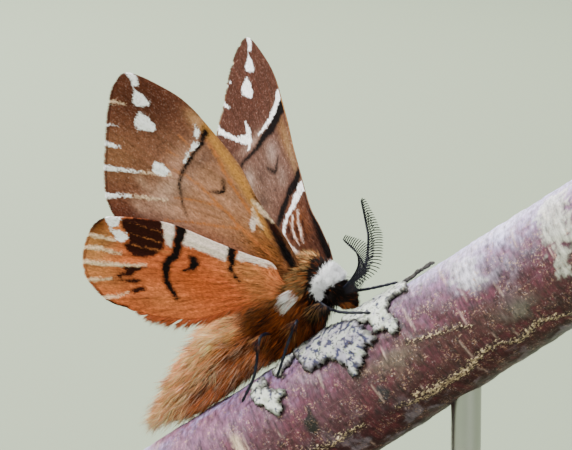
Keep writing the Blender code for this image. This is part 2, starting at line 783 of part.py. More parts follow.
def main():
    """Builds every part under one root."""
    start_scene()
    varnished_wood = finish("stained wood", (70, 52, 44), 0.45)
    steel = finish("brushed steel", (170, 170, 168), 0.35, 1.0)
    bark = finish("birch bark", (132, 96, 106), 0.6)
    rust_coat = finish("rust hair", (150, 84, 44), 0.8)
    white_coat = finish("white hair", (238, 232, 226), 0.8)
    dark_coat = finish("black brown hair", (40, 30, 30), 0.7)
    eye_shell = finish("eye", (16, 14, 16), 0.2)
    comb_shell = finish("comb", (52, 52, 66), 0.45)
    leg_shell = finish("leg", (34, 34, 48), 0.4)
    brown_wing = finish("brown wing scales", (112, 70, 52), 0.7)
    orange_wing = finish("orange wing scales", (192, 114, 62), 0.7)
    build_stand(varnished_wood, steel)
    build_perch(bark)
    build_limbs(leg_shell, eye_shell, comb_shell, (brown_wing, orange_wing))
    build_trunk({"head": dark_coat, "collar": white_coat, "thorax": rust_coat, "abdomen": rust_coat})
    root = bpy.data.objects.new("kentish_glory_moth", None)
    parts.objects.link(root)
    for obj in parts.objects:
        if obj is not root:
            obj.parent = root


main()
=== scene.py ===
"""Looks of the kentish glory moth: a male on a length of birch twig, held by a plain display stand.

The row frame is the CAD model's: metres, +Z up, +X towards the moth's head, the moth's right side faces -Y.
Sizes in this script are millimetres, turned into metres when a mesh is made. Angles are radians, except those
named as degrees.
"""

import logging
import math
from dataclasses import dataclass, field, replace
from enum import Enum

import bmesh
import bpy
import numpy as np
from mathutils import Matrix, Vector, noise

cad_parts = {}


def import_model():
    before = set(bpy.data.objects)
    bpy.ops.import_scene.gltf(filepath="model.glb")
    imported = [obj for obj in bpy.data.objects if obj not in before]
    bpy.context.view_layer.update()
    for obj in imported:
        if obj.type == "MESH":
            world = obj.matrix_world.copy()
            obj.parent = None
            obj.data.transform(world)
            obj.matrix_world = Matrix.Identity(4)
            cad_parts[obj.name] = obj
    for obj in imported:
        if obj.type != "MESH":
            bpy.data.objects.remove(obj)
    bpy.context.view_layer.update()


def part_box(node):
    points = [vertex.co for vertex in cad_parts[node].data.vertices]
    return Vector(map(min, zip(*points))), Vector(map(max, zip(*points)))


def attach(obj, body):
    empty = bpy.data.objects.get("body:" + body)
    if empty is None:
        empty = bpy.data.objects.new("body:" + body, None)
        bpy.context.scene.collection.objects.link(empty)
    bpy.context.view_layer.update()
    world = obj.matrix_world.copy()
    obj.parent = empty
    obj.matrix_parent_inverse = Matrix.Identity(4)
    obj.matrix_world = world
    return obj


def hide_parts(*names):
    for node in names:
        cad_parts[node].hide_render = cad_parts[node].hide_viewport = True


MM = 0.001
CURVE_STEPS = 24
TINY = 1e-9
CHITIN_IOR = 1.56
DRY_SPECULAR = 0.08
NO_MARK = -2.0
COLLAR_SLANT = 0.02
ARC_PER_RADIAN = 6.3
LEFT = np.array([0.0, 1.0, 0.0])
log = logging.getLogger("kentish_glory")

FACES = ("under", "upper")
Array, Generator, BMesh = np.ndarray, np.random.Generator, bmesh.types.BMesh
Material, Mesh, Object = bpy.types.Material, bpy.types.Mesh, bpy.types.Object
Node, Socket, Tree = bpy.types.Node, bpy.types.NodeSocket, bpy.types.NodeTree


def to_linear(code: str) -> tuple[float, float, float, float]:
    """The linear colour of an sRGB hex code.

    Args:
        code: Six hex digits after a hash sign.

    Returns:
        Red, green, blue and an alpha of one.
    """
    values = [int(code[i : i + 2], 16) / 255 for i in (1, 3, 5)]
    linear = [v / 12.92 if v <= 0.04045 else ((v + 0.055) / 1.055) ** 2.4 for v in values]
    return (*linear, 1.0)


def rgb(code: str) -> Array:
    """Linear red, green and blue of a hex code, as an array."""
    return np.array(to_linear(code)[:3])


def blend(low: Array, high: Array, share: Array) -> Array:
    """Colours between two colours or lists of colours: low where the row's share is 0, high where it is 1."""
    share = np.clip(share, 0.0, 1.0)[:, None]
    return low * (1.0 - share) + high * share


def layered(colour: Array, *layers: tuple) -> Array:
    """Lays colours over a list of colours, one after the other.

    Args:
        colour: One colour for each row.
        layers: Pairs of a colour and its share in each row.

    Returns:
        One colour for each row.
    """
    for over, share in layers:
        colour = blend(colour, over, share)
    return colour


def smooth(values: Array, low: float, high: float) -> Array:
    """A soft step from 0 at low to 1 at high."""
    t = np.clip((values - low) / (high - low), 0.0, 1.0)
    return t * t * (3.0 - 2.0 * t)


def curve(points: tuple, shares: Array) -> Array:
    """Places on a smooth curve through points.

    Args:
        points: Points of any dimension that the curve runs through.
        shares: Shares of the curve's length, from 0 to 1.

    Returns:
        One point for each share.
    """
    p = np.array(points, float)
    p = np.vstack([2 * p[0] - p[1], p, 2 * p[-1] - p[-2]])
    t = np.linspace(0.0, 1.0, CURVE_STEPS, endpoint=False)[:, None]
    runs = []
    for a, b, c, d in zip(p, p[1:], p[2:], p[3:]):
        square, cube = 2 * a - 5 * b + 4 * c - d, 3 * b - a - 3 * c + d
        runs.append(0.5 * (2 * b + (c - a) * t + square * t**2 + cube * t**3))
    dense = np.vstack([*runs, p[-2:-1]])
    steps = np.linalg.norm(np.diff(dense, axis=0), axis=1)
    spots = np.concatenate([[0.0], np.cumsum(steps)])
    wanted = np.asarray(shares) * spots[-1]
    return np.stack([np.interp(wanted, spots, dense[:, k]) for k in range(dense.shape[1])], axis=-1)


def unit(vectors: Array) -> Array:
    """The vectors at length one."""
    return vectors / np.maximum(np.linalg.norm(vectors, axis=-1, keepdims=True), TINY)


def bent_lines(root: Array, way: Array, end_way: Array, length: Array) -> Array:
    """Centre lines of hairs in three points: each starts one way and bends to another half way along."""
    middle = root + way * length * 0.5
    return np.stack([root, middle, middle + end_way * length * 0.5], axis=1)


def connect(tree: Tree, node: Node, inputs: dict) -> None:
    """Gives inputs of a node their values, or links them.

    Args:
        tree: Node tree of the node.
        node: The node.
        inputs: Values or output sockets, by the input's name or number.
    """
    for key, value in inputs.items():
        if isinstance(value, Socket):
            tree.links.new(value, node.inputs[key])
        else:
            node.inputs[key].default_value = value


def add_node(tree: Tree, kind: str, inputs: dict | None = None, **settings: object) -> Node:
    """Adds a shader node with its settings, values and links.

    Args:
        tree: Node tree that gets the node.
        kind: Blender's type name of the node.
        inputs: Values or output sockets, by the input's name or number.
        settings: Properties of the node.

    Returns:
        The new node.
    """
    node = tree.nodes.new(kind)
    for key, value in settings.items():
        setattr(node, key, value)
    connect(tree, node, inputs or {})
    return node


def attribute(tree: Tree, name: str, output: str = "Fac") -> Socket:
    """The output of an attribute node that reads the named attribute."""
    return add_node(tree, "ShaderNodeAttribute", attribute_name=name).outputs[output]


def times(tree: Tree, a: object, b: object) -> Socket:
    """The product of two values or sockets."""
    return add_node(tree, "ShaderNodeMath", {0: a, 1: b}, operation="MULTIPLY").outputs[0]


def plus(tree: Tree, a: object, b: object) -> Socket:
    """The sum of two values or sockets."""
    return add_node(tree, "ShaderNodeMath", {0: a, 1: b}, operation="ADD").outputs[0]


def mix(tree: Tree, share: object, low: object, high: object) -> Socket:
    """The mix of two colours: inputs 0, 6 and 7 are the node's factor and its two colours."""
    return add_node(tree, "ShaderNodeMix", {0: share, 6: low, 7: high}, data_type="RGBA").outputs[2]


def ramp(tree: Tree, value: object, span: tuple, onto: tuple = (0.0, 1.0)) -> Socket:
    """The value moved from a span of values onto another, and held there."""
    inputs = {"Value": value, "From Min": span[0], "From Max": span[1], "To Min": onto[0], "To Max": onto[1]}
    return add_node(tree, "ShaderNodeMapRange", inputs).outputs[0]


def scaled(tree: Tree, colour: object, value: object) -> Socket:
    """A colour made lighter or darker by a factor."""
    return add_node(tree, "ShaderNodeVectorMath", {0: colour, "Scale": value}, operation="SCALE").outputs[0]


def bump(tree: Tree, height: object, strength: float, depth_mm: float) -> Socket:
    """The normals of a surface that a pattern of heights roughens."""
    inputs = {"Height": height, "Strength": strength, "Distance": depth_mm * MM}
    return add_node(tree, "ShaderNodeBump", inputs).outputs[0]


def principled(name: str) -> tuple[Material, Tree, Node]:
    """Makes a material that uses nodes.

    Args:
        name: Name of the material.

    Returns:
        The material, its node tree and its Principled node.
    """
    material = bpy.data.materials.new(name)
    material.use_nodes = True
    tree = material.node_tree
    return material, tree, tree.nodes["Principled BSDF"]


@dataclass(frozen=True)
class Grain:
    """A noise over a surface: its stretch along the axes, its size and how rough it is."""

    stretch: tuple
    per_mm: float
    detail: float
    roughness: float = 0.5

    def on(self, tree: Tree, place: Socket, mm: float = 1.0) -> Socket:
        """Adds the noise to a node tree.

        Args:
            tree: Node tree that gets the noise.
            place: Coordinates that the noise reads.
            mm: One millimetre in those coordinates.

        Returns:
            The noise's output, from 0 to 1.
        """
        inputs = {0: place, 1: self.stretch}
        stretched = add_node(tree, "ShaderNodeVectorMath", inputs, operation="MULTIPLY").outputs[0]
        inputs = {"Vector": stretched, "Scale": self.per_mm / mm, "Detail": self.detail}
        return add_node(tree, "ShaderNodeTexNoise", inputs | {"Roughness": self.roughness}).outputs["Fac"]


@dataclass(frozen=True)
class HairFinish:
    """Insect hair and scales: dry chitin bristles, tinted for each hair by the tint attribute.

    Chitin's IOR is about 1.56, and loose hair looks matt. Pale hair lets light through.
    """

    name: str
    roughness: float = 0.6
    scatter: float = 0.0
    scatter_tint: tuple = (1.0, 0.95, 0.9)
    scatter_mm: float = 0.3

    def material(self) -> Material:
        """Builds the Blender material.

        Returns:
            The material.
        """
        material, tree, shader = principled(self.name)
        inputs = {
            "Base Color": attribute(tree, "tint", "Color"),
            "Roughness": self.roughness,
            "IOR": CHITIN_IOR,
            "Specular IOR Level": DRY_SPECULAR,
            "Subsurface Weight": self.scatter,
            "Subsurface Radius": self.scatter_tint,
            "Subsurface Scale": self.scatter_mm * MM,
        }
        connect(tree, shader, inputs)
        return material


@dataclass(frozen=True)
class ChitinFinish:
    """Bare dark chitin of legs, feelers and eyes: IOR about 1.56, with a blue sheen from fine scales."""

    name: str
    colour: str
    sheen_colour: str
    roughness: float
    spots_per_mm: float = 9.0
    specular: float = 0.2
    sheen_span: tuple = (0.45, 0.7)
    bump_strength: float = 0.3
    bump_mm: float = 0.02

    def material(self) -> Material:
        """Builds the Blender material.

        Returns:
            The material.
        """
        material, tree, shader = principled(self.name)
        place = add_node(tree, "ShaderNodeTexCoord").outputs["Object"]
        grain = Grain((1.0, 1.0, 1.0), self.spots_per_mm, 2.0).on(tree, place, MM)
        share = ramp(tree, grain, self.sheen_span)
        inputs = {
            "Base Color": mix(tree, share, to_linear(self.colour), to_linear(self.sheen_colour)),
            "Normal": bump(tree, grain, self.bump_strength, self.bump_mm),
            "Roughness": self.roughness,
            "IOR": CHITIN_IOR,
            "Specular IOR Level": self.specular,
        }
        connect(tree, shader, inputs)
        return material


class Ink(Enum):
    """The scales that a wing marking is made of."""

    WHITE = "white"
    BLACK = "black"
    PALE = "pale"
    CREAM = "cream"
    ORANGE = "orange"
    OCHRE = "ochre"
    UMBER = "umber"


# Each ink's colour and half the width of its soft edge, from the lowest layer to the highest
INKS = {
    Ink.OCHRE: ("#BA8040", 0.4),
    Ink.UMBER: ("#2A0D06", 0.18),
    Ink.ORANGE: ("#B26A3A", 0.14),
    Ink.PALE: ("#F2D0AC", 0.18),
    Ink.CREAM: ("#F2DACB", 0.14),
    Ink.BLACK: ("#0E0706", 0.2),
    Ink.WHITE: ("#FFFDFC", 0.08),
}
SCALE_LENGTH_MM = 0.16
WING_SCALES = Grain((0.45, 1.0, 0.0), 1.0 / SCALE_LENGTH_MM, 3.0, 0.7)
WING_RAGS = Grain((0.6, 1.0, 0.0), 2.6, 4.0, 0.7)
WING_STREAKS = Grain((0.16, 0.0, 1.0), 2.2, 3.0, 0.7)
WING_DUST = Grain((0.8, 1.0, 0.0), 6.5, 2.0, 0.7)


@dataclass(frozen=True)
class WingFinish:
    """Moth wing: overlapping dry scales of 0.1 to 0.2 mm, seen in rows; chitin, IOR about 1.56, matt.

    The ground colour and the signed distances to the markings are attributes of the wing's mesh.
    """

    name: str
    face: str
    dust: str
    streaks: tuple
    ragged_mm: float = 0.42
    dust_share: float = 0.7
    rag_middle: float = 0.85
    dusting: float = 0.32
    noise_span: tuple = (0.3, 0.7)
    dapple: tuple = (0.7, 1.3)
    scale_shades: tuple = (0.55, 1.45)
    roughness: float = 0.85
    bump_strength: float = 0.5
    bump_mm: float = 0.05

    def material(self) -> Material:
        """Builds the Blender material.

        Returns:
            The material.
        """
        material, tree, shader = principled(self.name)
        plan = attribute(tree, "plan", "Vector")
        scales, rags = WING_SCALES.on(tree, plan), WING_RAGS.on(tree, plan)
        streaks, dust = WING_STREAKS.on(tree, plan), WING_DUST.on(tree, plan)
        rough = plus(tree, times(tree, dust, self.dust_share), rags)
        shift = times(tree, plus(tree, rough, -self.rag_middle), self.ragged_mm * 2)
        dusted = times(tree, ramp(tree, dust, (0.52, 0.7)), ramp(tree, rags, (0.4, 0.65)))
        ground = attribute(tree, self.face + "_ground", "Color")
        colour = mix(tree, times(tree, dusted, self.dusting), ground, to_linear(self.dust))
        colour = scaled(tree, colour, ramp(tree, rags, self.noise_span, self.dapple))
        colour = scaled(tree, colour, ramp(tree, streaks, self.noise_span, self.streaks))
        for ink, (code, soft) in INKS.items():
            distance = plus(tree, attribute(tree, f"{self.face}_{ink.value}"), shift)
            colour = mix(tree, ramp(tree, distance, (-soft, soft)), colour, to_linear(code))
        inputs = {
            "Base Color": scaled(tree, colour, ramp(tree, scales, (0.25, 0.75), self.scale_shades)),
            "Normal": bump(tree, scales, self.bump_strength, self.bump_mm),
            "Roughness": self.roughness,
            "IOR": CHITIN_IOR,
            "Specular IOR Level": DRY_SPECULAR,
        }
        connect(tree, shader, inputs)
        return material


BARK_ZONES = Grain((1.0, 1.0, 1.0), 0.7, 3.0, 0.65)
BARK_CRUMBS = Grain((1.0, 0.6, 1.0), 4.5, 4.0, 0.65)


@dataclass(frozen=True)
class BarkFinish:
    """Young birch bark: waxy, smooth and peeling in shreds, tinted by the tint attribute. IOR about 1.47."""

    name: str
    roughness: float
    grain_per_mm: float
    specks: float
    bump_mm: float = 0.12
    contrast: tuple = (0.25, 1.7)
    ior: float = 1.47
    speck_ratio: float = 2.3
    shred_gain: float = 1.6
    crack_rag_mm: float = 3.4
    crumb_middle: float = 0.52
    crumb_span: tuple = (0.42, 0.58)
    bump_strength: float = 0.6

    def material(self) -> Material:
        """Builds the Blender material.

        Returns:
            The material.
        """
        material, tree, shader = principled(self.name)
        plan = attribute(tree, "plan", "Vector")
        crack = attribute(tree, "crack")
        grain = Grain((0.35, 1.0, 1.0), self.grain_per_mm, 5.0, 0.65).on(tree, plan)
        specks = Grain((0.7, 1.0, 1.0), self.grain_per_mm * self.speck_ratio, 3.0, 0.65).on(tree, plan)
        zones, crumbs = BARK_ZONES.on(tree, plan), BARK_CRUMBS.on(tree, plan)
        patchy = times(tree, ramp(tree, specks, (0.55, 0.66)), ramp(tree, zones, (0.42, 0.6), (0.1, 1.0)))
        shreds = times(tree, ramp(tree, crumbs, (0.56, 0.6)), ramp(tree, zones, (0.5, 0.6)))
        edge = plus(tree, crack, times(tree, plus(tree, crumbs, -self.crumb_middle), self.crack_rag_mm))
        crumbly = ramp(tree, crumbs, self.crumb_span)
        flake = mix(tree, crumbly, to_linear("#D9CCCB"), to_linear("#A8764E"))
        crust = mix(tree, crumbly, to_linear("#5A3A28"), to_linear("#CDB48E"))
        colour = attribute(tree, "tint", "Color")
        for share, over in (
            (times(tree, patchy, self.specks), flake),
            (ramp(tree, specks, (0.42, 0.33), (0.0, self.specks)), to_linear("#3A1C18")),
            (times(tree, shreds, self.specks * self.shred_gain), to_linear("#B9957A")),
            # Painted shadow: a dark band along the raised, peeling seams
            (ramp(tree, crack, (-0.5, -0.1), (0.0, 0.6)), to_linear("#2A1311")),
            (ramp(tree, edge, (-0.1, 0.1)), crust),
        ):
            colour = mix(tree, share, colour, over)
        height = plus(tree, grain, ramp(tree, edge, (-0.1, 0.2), (0.0, 1.5)))
        inputs = {
            "Base Color": scaled(tree, colour, ramp(tree, grain, (0.3, 0.7), self.contrast)),
            "Normal": bump(tree, height, self.bump_strength, self.bump_mm),
            "Roughness": self.roughness,
            "IOR": self.ior,
        }
        connect(tree, shader, inputs)
        return material


WOOD_GRAIN = Grain((0.04, 1.0, 1.0), 1.2, 4.0)


@dataclass(frozen=True)
class PlainFinish:
    """One plain colour: satin varnished wood (IOR 1.5), brushed steel, or a matt studio floor."""

    name: str
    colour: str
    roughness: float
    metallic: float = 0.0
    ior: float = 1.5
    grain: str = ""

    def material(self) -> Material:
        """Builds the Blender material, with wood grain along X where a grain colour is set.

        Returns:
            The material.
        """
        material, tree, shader = principled(self.name)
        colour = to_linear(self.colour)
        if self.grain:
            lines = WOOD_GRAIN.on(tree, add_node(tree, "ShaderNodeTexCoord").outputs["Object"], MM)
            colour = mix(tree, lines, colour, to_linear(self.grain))
        inputs = {"Base Color": colour, "Roughness": self.roughness, "Metallic": self.metallic}
        connect(tree, shader, inputs | {"IOR": self.ior})
        return material


def place_piece(obj: Object, nodes: tuple = ()) -> None:
    """Lets a piece ride on the model and stand for its CAD nodes.

    Args:
        obj: Object of the piece.
        nodes: CAD nodes that the piece stands for.
    """
    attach(obj, "root")
    if nodes:
        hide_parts(*nodes)
    log.info("%s: %d faces", obj.name, len(obj.data.polygons))


def spots_of(bm: BMesh) -> Array:
    """Places of a mesh's vertices, in their order."""
    return np.array([vert.co for vert in bm.verts])


def move_to(bm: BMesh, places: Array) -> None:
    """Moves each vertex of a mesh to its new place."""
    for vert, place in zip(bm.verts, places):
        vert.co = place


def uprights(bm: BMesh) -> list:
    """The edges of a mesh that stand upright."""
    return [edge for edge in bm.edges if abs(edge.verts[0].co.z - edge.verts[1].co.z) > 0.5]


def cylinder(sides: int, cuts: int) -> BMesh:
    """A closed cylinder of radius and height 1 about the origin.

    Args:
        sides: Sides of the cylinder.
        cuts: Rings between its ends.

    Returns:
        The mesh.
    """
    bm = bmesh.new()
    bmesh.ops.create_cone(bm, cap_ends=True, segments=sides, radius1=1.0, radius2=1.0, depth=1.0)
    bmesh.ops.subdivide_edges(bm, edges=uprights(bm), cuts=cuts, use_grid_fill=True)
    return bm


def mesh_object(name: str, bm: BMesh, materials: list) -> Object:
    """An object from a mesh in millimetres.

    Args:
        name: Name of the object.
        bm: Mesh, which is freed.
        materials: Materials in slot order.

    Returns:
        The object, linked to the scene, smooth shaded and at the origin.
    """
    bmesh.ops.scale(bm, vec=(MM, MM, MM), verts=bm.verts)
    bmesh.ops.recalc_face_normals(bm, faces=bm.faces)
    mesh = bpy.data.meshes.new(name)
    bm.to_mesh(mesh)
    bm.free()
    obj = bpy.data.objects.new(name, mesh)
    bpy.context.scene.collection.objects.link(obj)
    for material in materials:
        mesh.materials.append(material)
    mesh.shade_smooth()
    return obj


def set_attribute(mesh: Mesh, name: str, values: Array) -> None:
    """Writes an attribute of the mesh's vertices.

    Args:
        mesh: Mesh that gets the attribute.
        name: Name of the attribute: plan is the one that holds vectors.
        values: One value, vector or colour for each vertex.
    """
    values = np.asarray(values, np.float32)
    if values.ndim == 1:
        layer = mesh.attributes.new(name, "FLOAT", "POINT")
        layer.data.foreach_set("value", values)
    elif name == "plan":
        layer = mesh.attributes.new(name, "FLOAT_VECTOR", "POINT")
        layer.data.foreach_set("vector", values.ravel())
    else:
        layer = mesh.attributes.new(name, "FLOAT_COLOR", "POINT")
        colours = np.ones((len(values), 4), np.float32)
        colours[:, :3] = np.clip(values, 0.0, 1.0)
        layer.data.foreach_set("color", colours.ravel())


@dataclass
class Spikes:
    """Closed tapered spikes, copies of one template, for hairs, bristles and comb branches."""

    material: Material
    sides: int = 3
    cuts: int = 1
    taper: float = 0.35
    patch_size: float = 0.0015
    map_margin: float = 0.002

    def __post_init__(self) -> None:
        """Makes the template: its triangles, and the level, ring and outline place of each vertex."""
        bm = cylinder(self.sides, self.cuts)
        top = [vert for vert in bm.verts if vert.co.z > 0.499]
        bmesh.ops.pointmerge(bm, verts=top, merge_co=(0.0, 0.0, 0.5))
        bmesh.ops.triangulate(bm, faces=bm.faces)
        bmesh.ops.recalc_face_normals(bm, faces=bm.faces)
        bm.verts.index_update()
        co = spots_of(bm)
        self.triangles = np.array([[vert.index for vert in face.verts] for face in bm.faces])
        self.levels = co[:, 2] + 0.5
        self.rings = np.round(self.levels * (self.cuts + 1)).astype(int)
        self.round = co[:, :2] * (self.rings < self.cuts + 1)[:, None]
        bm.free()

    def build(self, name: str, paths: Array, radii: Array, tints: Array, patches: Array) -> Object:
        """One mesh of all the spikes.

        Args:
            name: Name of the object.
            paths: Centre of each spike at its rings, root to tip, in millimetres (spikes, rings, 3).
            radii: Radius of each spike at its root.
            tints: Colour of each spike at its root and at its tip (spikes, 2, 3).
            patches: Place of each spike's patch in the bake map (spikes, 2).

        Returns:
            The object, linked to the scene.
        """
        count, verts = len(paths), len(self.levels)
        axis = unit(paths[:, -1] - paths[:, 0])
        helper = np.where(np.abs(axis[:, 2:3]) > 0.9, [[1.0, 0.0, 0.0]], [[0.0, 0.0, 1.0]])
        side = unit(np.cross(axis, helper))
        other = np.cross(axis, side)
        reach = radii[:, None, None] * (1.0 - self.taper * self.levels)[None, :, None]
        ring = side[:, None] * self.round[None, :, :1] + other[:, None] * self.round[None, :, 1:]
        co = (paths[:, self.rings] + ring * reach) * MM
        faces = (self.triangles[None] + np.arange(count)[:, None, None] * verts).reshape(-1, 3)
        mesh = bpy.data.meshes.new(name)
        mesh.vertices.add(count * verts)
        mesh.vertices.foreach_set("co", co.astype(np.float32).ravel())
        mesh.loops.add(faces.size)
        mesh.loops.foreach_set("vertex_index", faces.astype(np.int32).ravel())
        mesh.polygons.add(len(faces))
        mesh.polygons.foreach_set("loop_start", np.arange(0, faces.size, 3, dtype=np.int32))
        shade = self.levels[None, :, None]
        colours = tints[:, :1] * (1 - shade) + tints[:, 1:] * shade
        set_attribute(mesh, "tint", colours.reshape(-1, 3))
        corners = self.patch_size * np.stack([self.round[:, 0], self.levels * 2 - 1], axis=-1)
        maps = np.clip(patches, self.map_margin, 1.0 - self.map_margin)[:, None] + corners[None]
        layer = mesh.uv_layers.new(name="OFBake")
        layer.data.foreach_set("uv", maps.reshape(-1, 2)[faces.ravel()].astype(np.float32).ravel())
        mesh.update(calc_edges=True)
        mesh.validate()
        mesh.shade_smooth()
        mesh.materials.append(self.material)
        obj = bpy.data.objects.new(name, mesh)
        bpy.context.scene.collection.objects.link(obj)
        return obj


@dataclass(frozen=True)
class CoatColours:
    """Colours of the hair by place on the trunk."""

    rust: str = "#D87A48"
    dark: str = "#24120B"
    gold: str = "#FFB07C"
    tan: str = "#E6985A"
    brown: str = "#7A4526"
    white: str = "#FBF8F4"
    olive: str = "#85663F"
    amber: str = "#B4581E"
    pale: str = "#F4D5BC"

    def at(self, share: Array, angle: Array) -> Array:
        """The coat's colours, as layers from the abdomen's sides to the head.

        Args:
            share: Shares of the trunk's length, from the abdomen's tip to the face.
            angle: Angles round the trunk, 0 on its left side and a quarter turn on its back.

        Returns:
            One colour for each place.
        """
        up = np.sin(angle)
        streaks = 0.5 + 0.5 * np.sin(angle * 9.0 + share * 26.0)
        fine = 0.5 + 0.5 * np.sin(angle * 31.0 - share * 40.0)
        chest = smooth(share, 0.5, 0.62)
        ring = share + COLLAR_SLANT * (1.0 - up) ** 2
        dark, gold = rgb(self.dark), rgb(self.gold)
        return layered(
            np.tile(rgb(self.rust), (len(share), 1)),
            (dark, np.exp(-(((up + 0.28) / 0.28) ** 2)) * (0.55 + 0.45 * streaks)),
            (rgb(self.tan), smooth(up, -0.1, 0.2) * (1.0 - 0.4 * fine)),
            # Gold over the back: the hair's own gold, laid on strongly as painted backlight on the upper side
            (gold, smooth(up, 0.1, 0.6)),
            (gold, smooth(0.22 - share, 0.0, 0.14) * (1.0 - 0.3 * streaks)),
            (dark, smooth(-up, 0.7, 0.95) * smooth(share, 0.25, 0.4) * 0.6),
            (rgb(self.amber) * 0.6, chest * smooth(-up, -0.6, 0.0)),
            (dark, chest * np.maximum(0.35 + streaks * 0.6, smooth(up, 0.1, 0.5) * 0.85)),
            (rgb(self.brown), smooth(share, 0.68, 0.76) * (0.8 - 0.5 * streaks)),
            (rgb(self.olive), smooth(ring, 0.7, 0.78) * smooth(up, -0.1, 0.3) * 0.8),
            (dark, smooth(ring, 0.82, 0.83)),
            (rgb(self.white), smooth(ring, 0.86, 0.865) * smooth(up, -0.9, -0.75)),
            (dark, smooth(ring, 0.912, 0.918)),
        )


@dataclass(frozen=True)
class Skin:
    """The moth's trunk under its hair: (x, z, half width, half height) from the abdomen's tip to the face."""

    stations: tuple = (
        (-23.9, 23.3, 0.15, 0.15), (-23.5, 23.7, 0.5, 0.45), (-22.1, 24.9, 1.05, 1.1),
        (-20.5, 26.4, 1.75, 1.85), (-18.3, 28.7, 2.2, 2.4), (-16.2, 31.0, 2.5, 2.7),
        (-14.2, 32.5, 2.3, 2.45), (-12.9, 33.4, 2.1, 2.3), (-11.3, 34.7, 2.6, 2.9),
        (-9.3, 36.4, 2.8, 3.0), (-7.8, 37.8, 2.4, 2.6), (-6.7, 38.6, 1.7, 2.0),
        (-5.6, 38.3, 1.2, 1.15), (-4.7, 37.8, 1.1, 0.95), (-3.8, 37.25, 0.82, 0.7),
        (-3.3, 37.0, 0.42, 0.42), (-3.05, 36.85, 0.1, 0.1),
    )
    samples: int = 500
    smoothing: int = 31
    rings: int = 150
    sides: int = 48

    def at(self, share: Array) -> tuple[Array, Array, Array, Array]:
        """The trunk's middle and size.

        Args:
            share: Shares of the trunk's length.

        Returns:
            Centre, upright direction, half width and half height at each share.
        """
        spots = np.linspace(0.0, 1.0, self.samples)
        table = curve(self.stations, spots)
        x, z, width, height = (np.interp(share, spots, table[:, k]) for k in range(4))
        slope = np.gradient(table[:, :2], axis=0)
        kernel = np.ones(self.smoothing) / self.smoothing
        padded = [np.pad(slope[:, k], self.smoothing // 2, mode="edge") for k in range(2)]
        dx, dz = (np.interp(share, spots, np.convolve(p, kernel, "valid")) for p in padded)
        ahead = unit(np.stack([dx, np.zeros_like(dx), dz], axis=-1))
        upright = np.stack([-ahead[..., 2], np.zeros_like(dx), ahead[..., 0]], axis=-1)
        return np.stack([x, np.zeros_like(x), z], axis=-1), upright, width, height

    def point(self, share: Array, angle: Array, grow: float = 0.0) -> Array:
        """Places on the skin.

        Args:
            share: Shares of the trunk's length.
            angle: Angles round the trunk: 0 is the left side and a quarter turn is the back.
            grow: How far outside the skin the places are.

        Returns:
            One place for each share and angle.
        """
        centre, upright, width, height = self.at(share)
        wide = ((width + grow) * np.cos(angle))[..., None] * LEFT
        tall = ((height + grow) * np.sin(angle))[..., None] * upright
        return centre + wide + tall

    def directions(self, share: Array, angle: Array) -> tuple[Array, Array]:
        """Directions at places on the skin.

        Args:
            share: Shares of the trunk's length.
            angle: Angles round the trunk.

        Returns:
            The direction towards the abdomen's tip and the outward normal.
        """
        back = unit(self.point(share - 0.012, angle) - self.point(share + 0.012, angle))
        around = unit(self.point(share, angle + 0.05) - self.point(share, angle - 0.05))
        normal = unit(np.cross(back, around))
        outward = self.point(share, angle) - self.at(share)[0]
        normal *= np.sign(np.sum(normal * outward, axis=-1, keepdims=True))
        return back, normal

    def build(self, tint: CoatColours, material: Material) -> Object:
        """Builds the skin's mesh, tinted as the coat is at its roots.

        Args:
            tint: Colours of the coat.
            material: Material of the skin.

        Returns:
            The object.
        """
        bm = bmesh.new()
        bmesh.ops.create_uvsphere(bm, u_segments=self.sides, v_segments=self.rings, radius=1.0)
        co = spots_of(bm)
        share = np.arccos(np.clip(-co[:, 2], -1.0, 1.0)) / math.pi
        angle = np.arctan2(co[:, 1], co[:, 0])
        move_to(bm, self.point(share, angle))
        obj = mesh_object("skin", bm, [material])
        set_attribute(obj.data, "tint", tint.at(share, angle))
        return obj


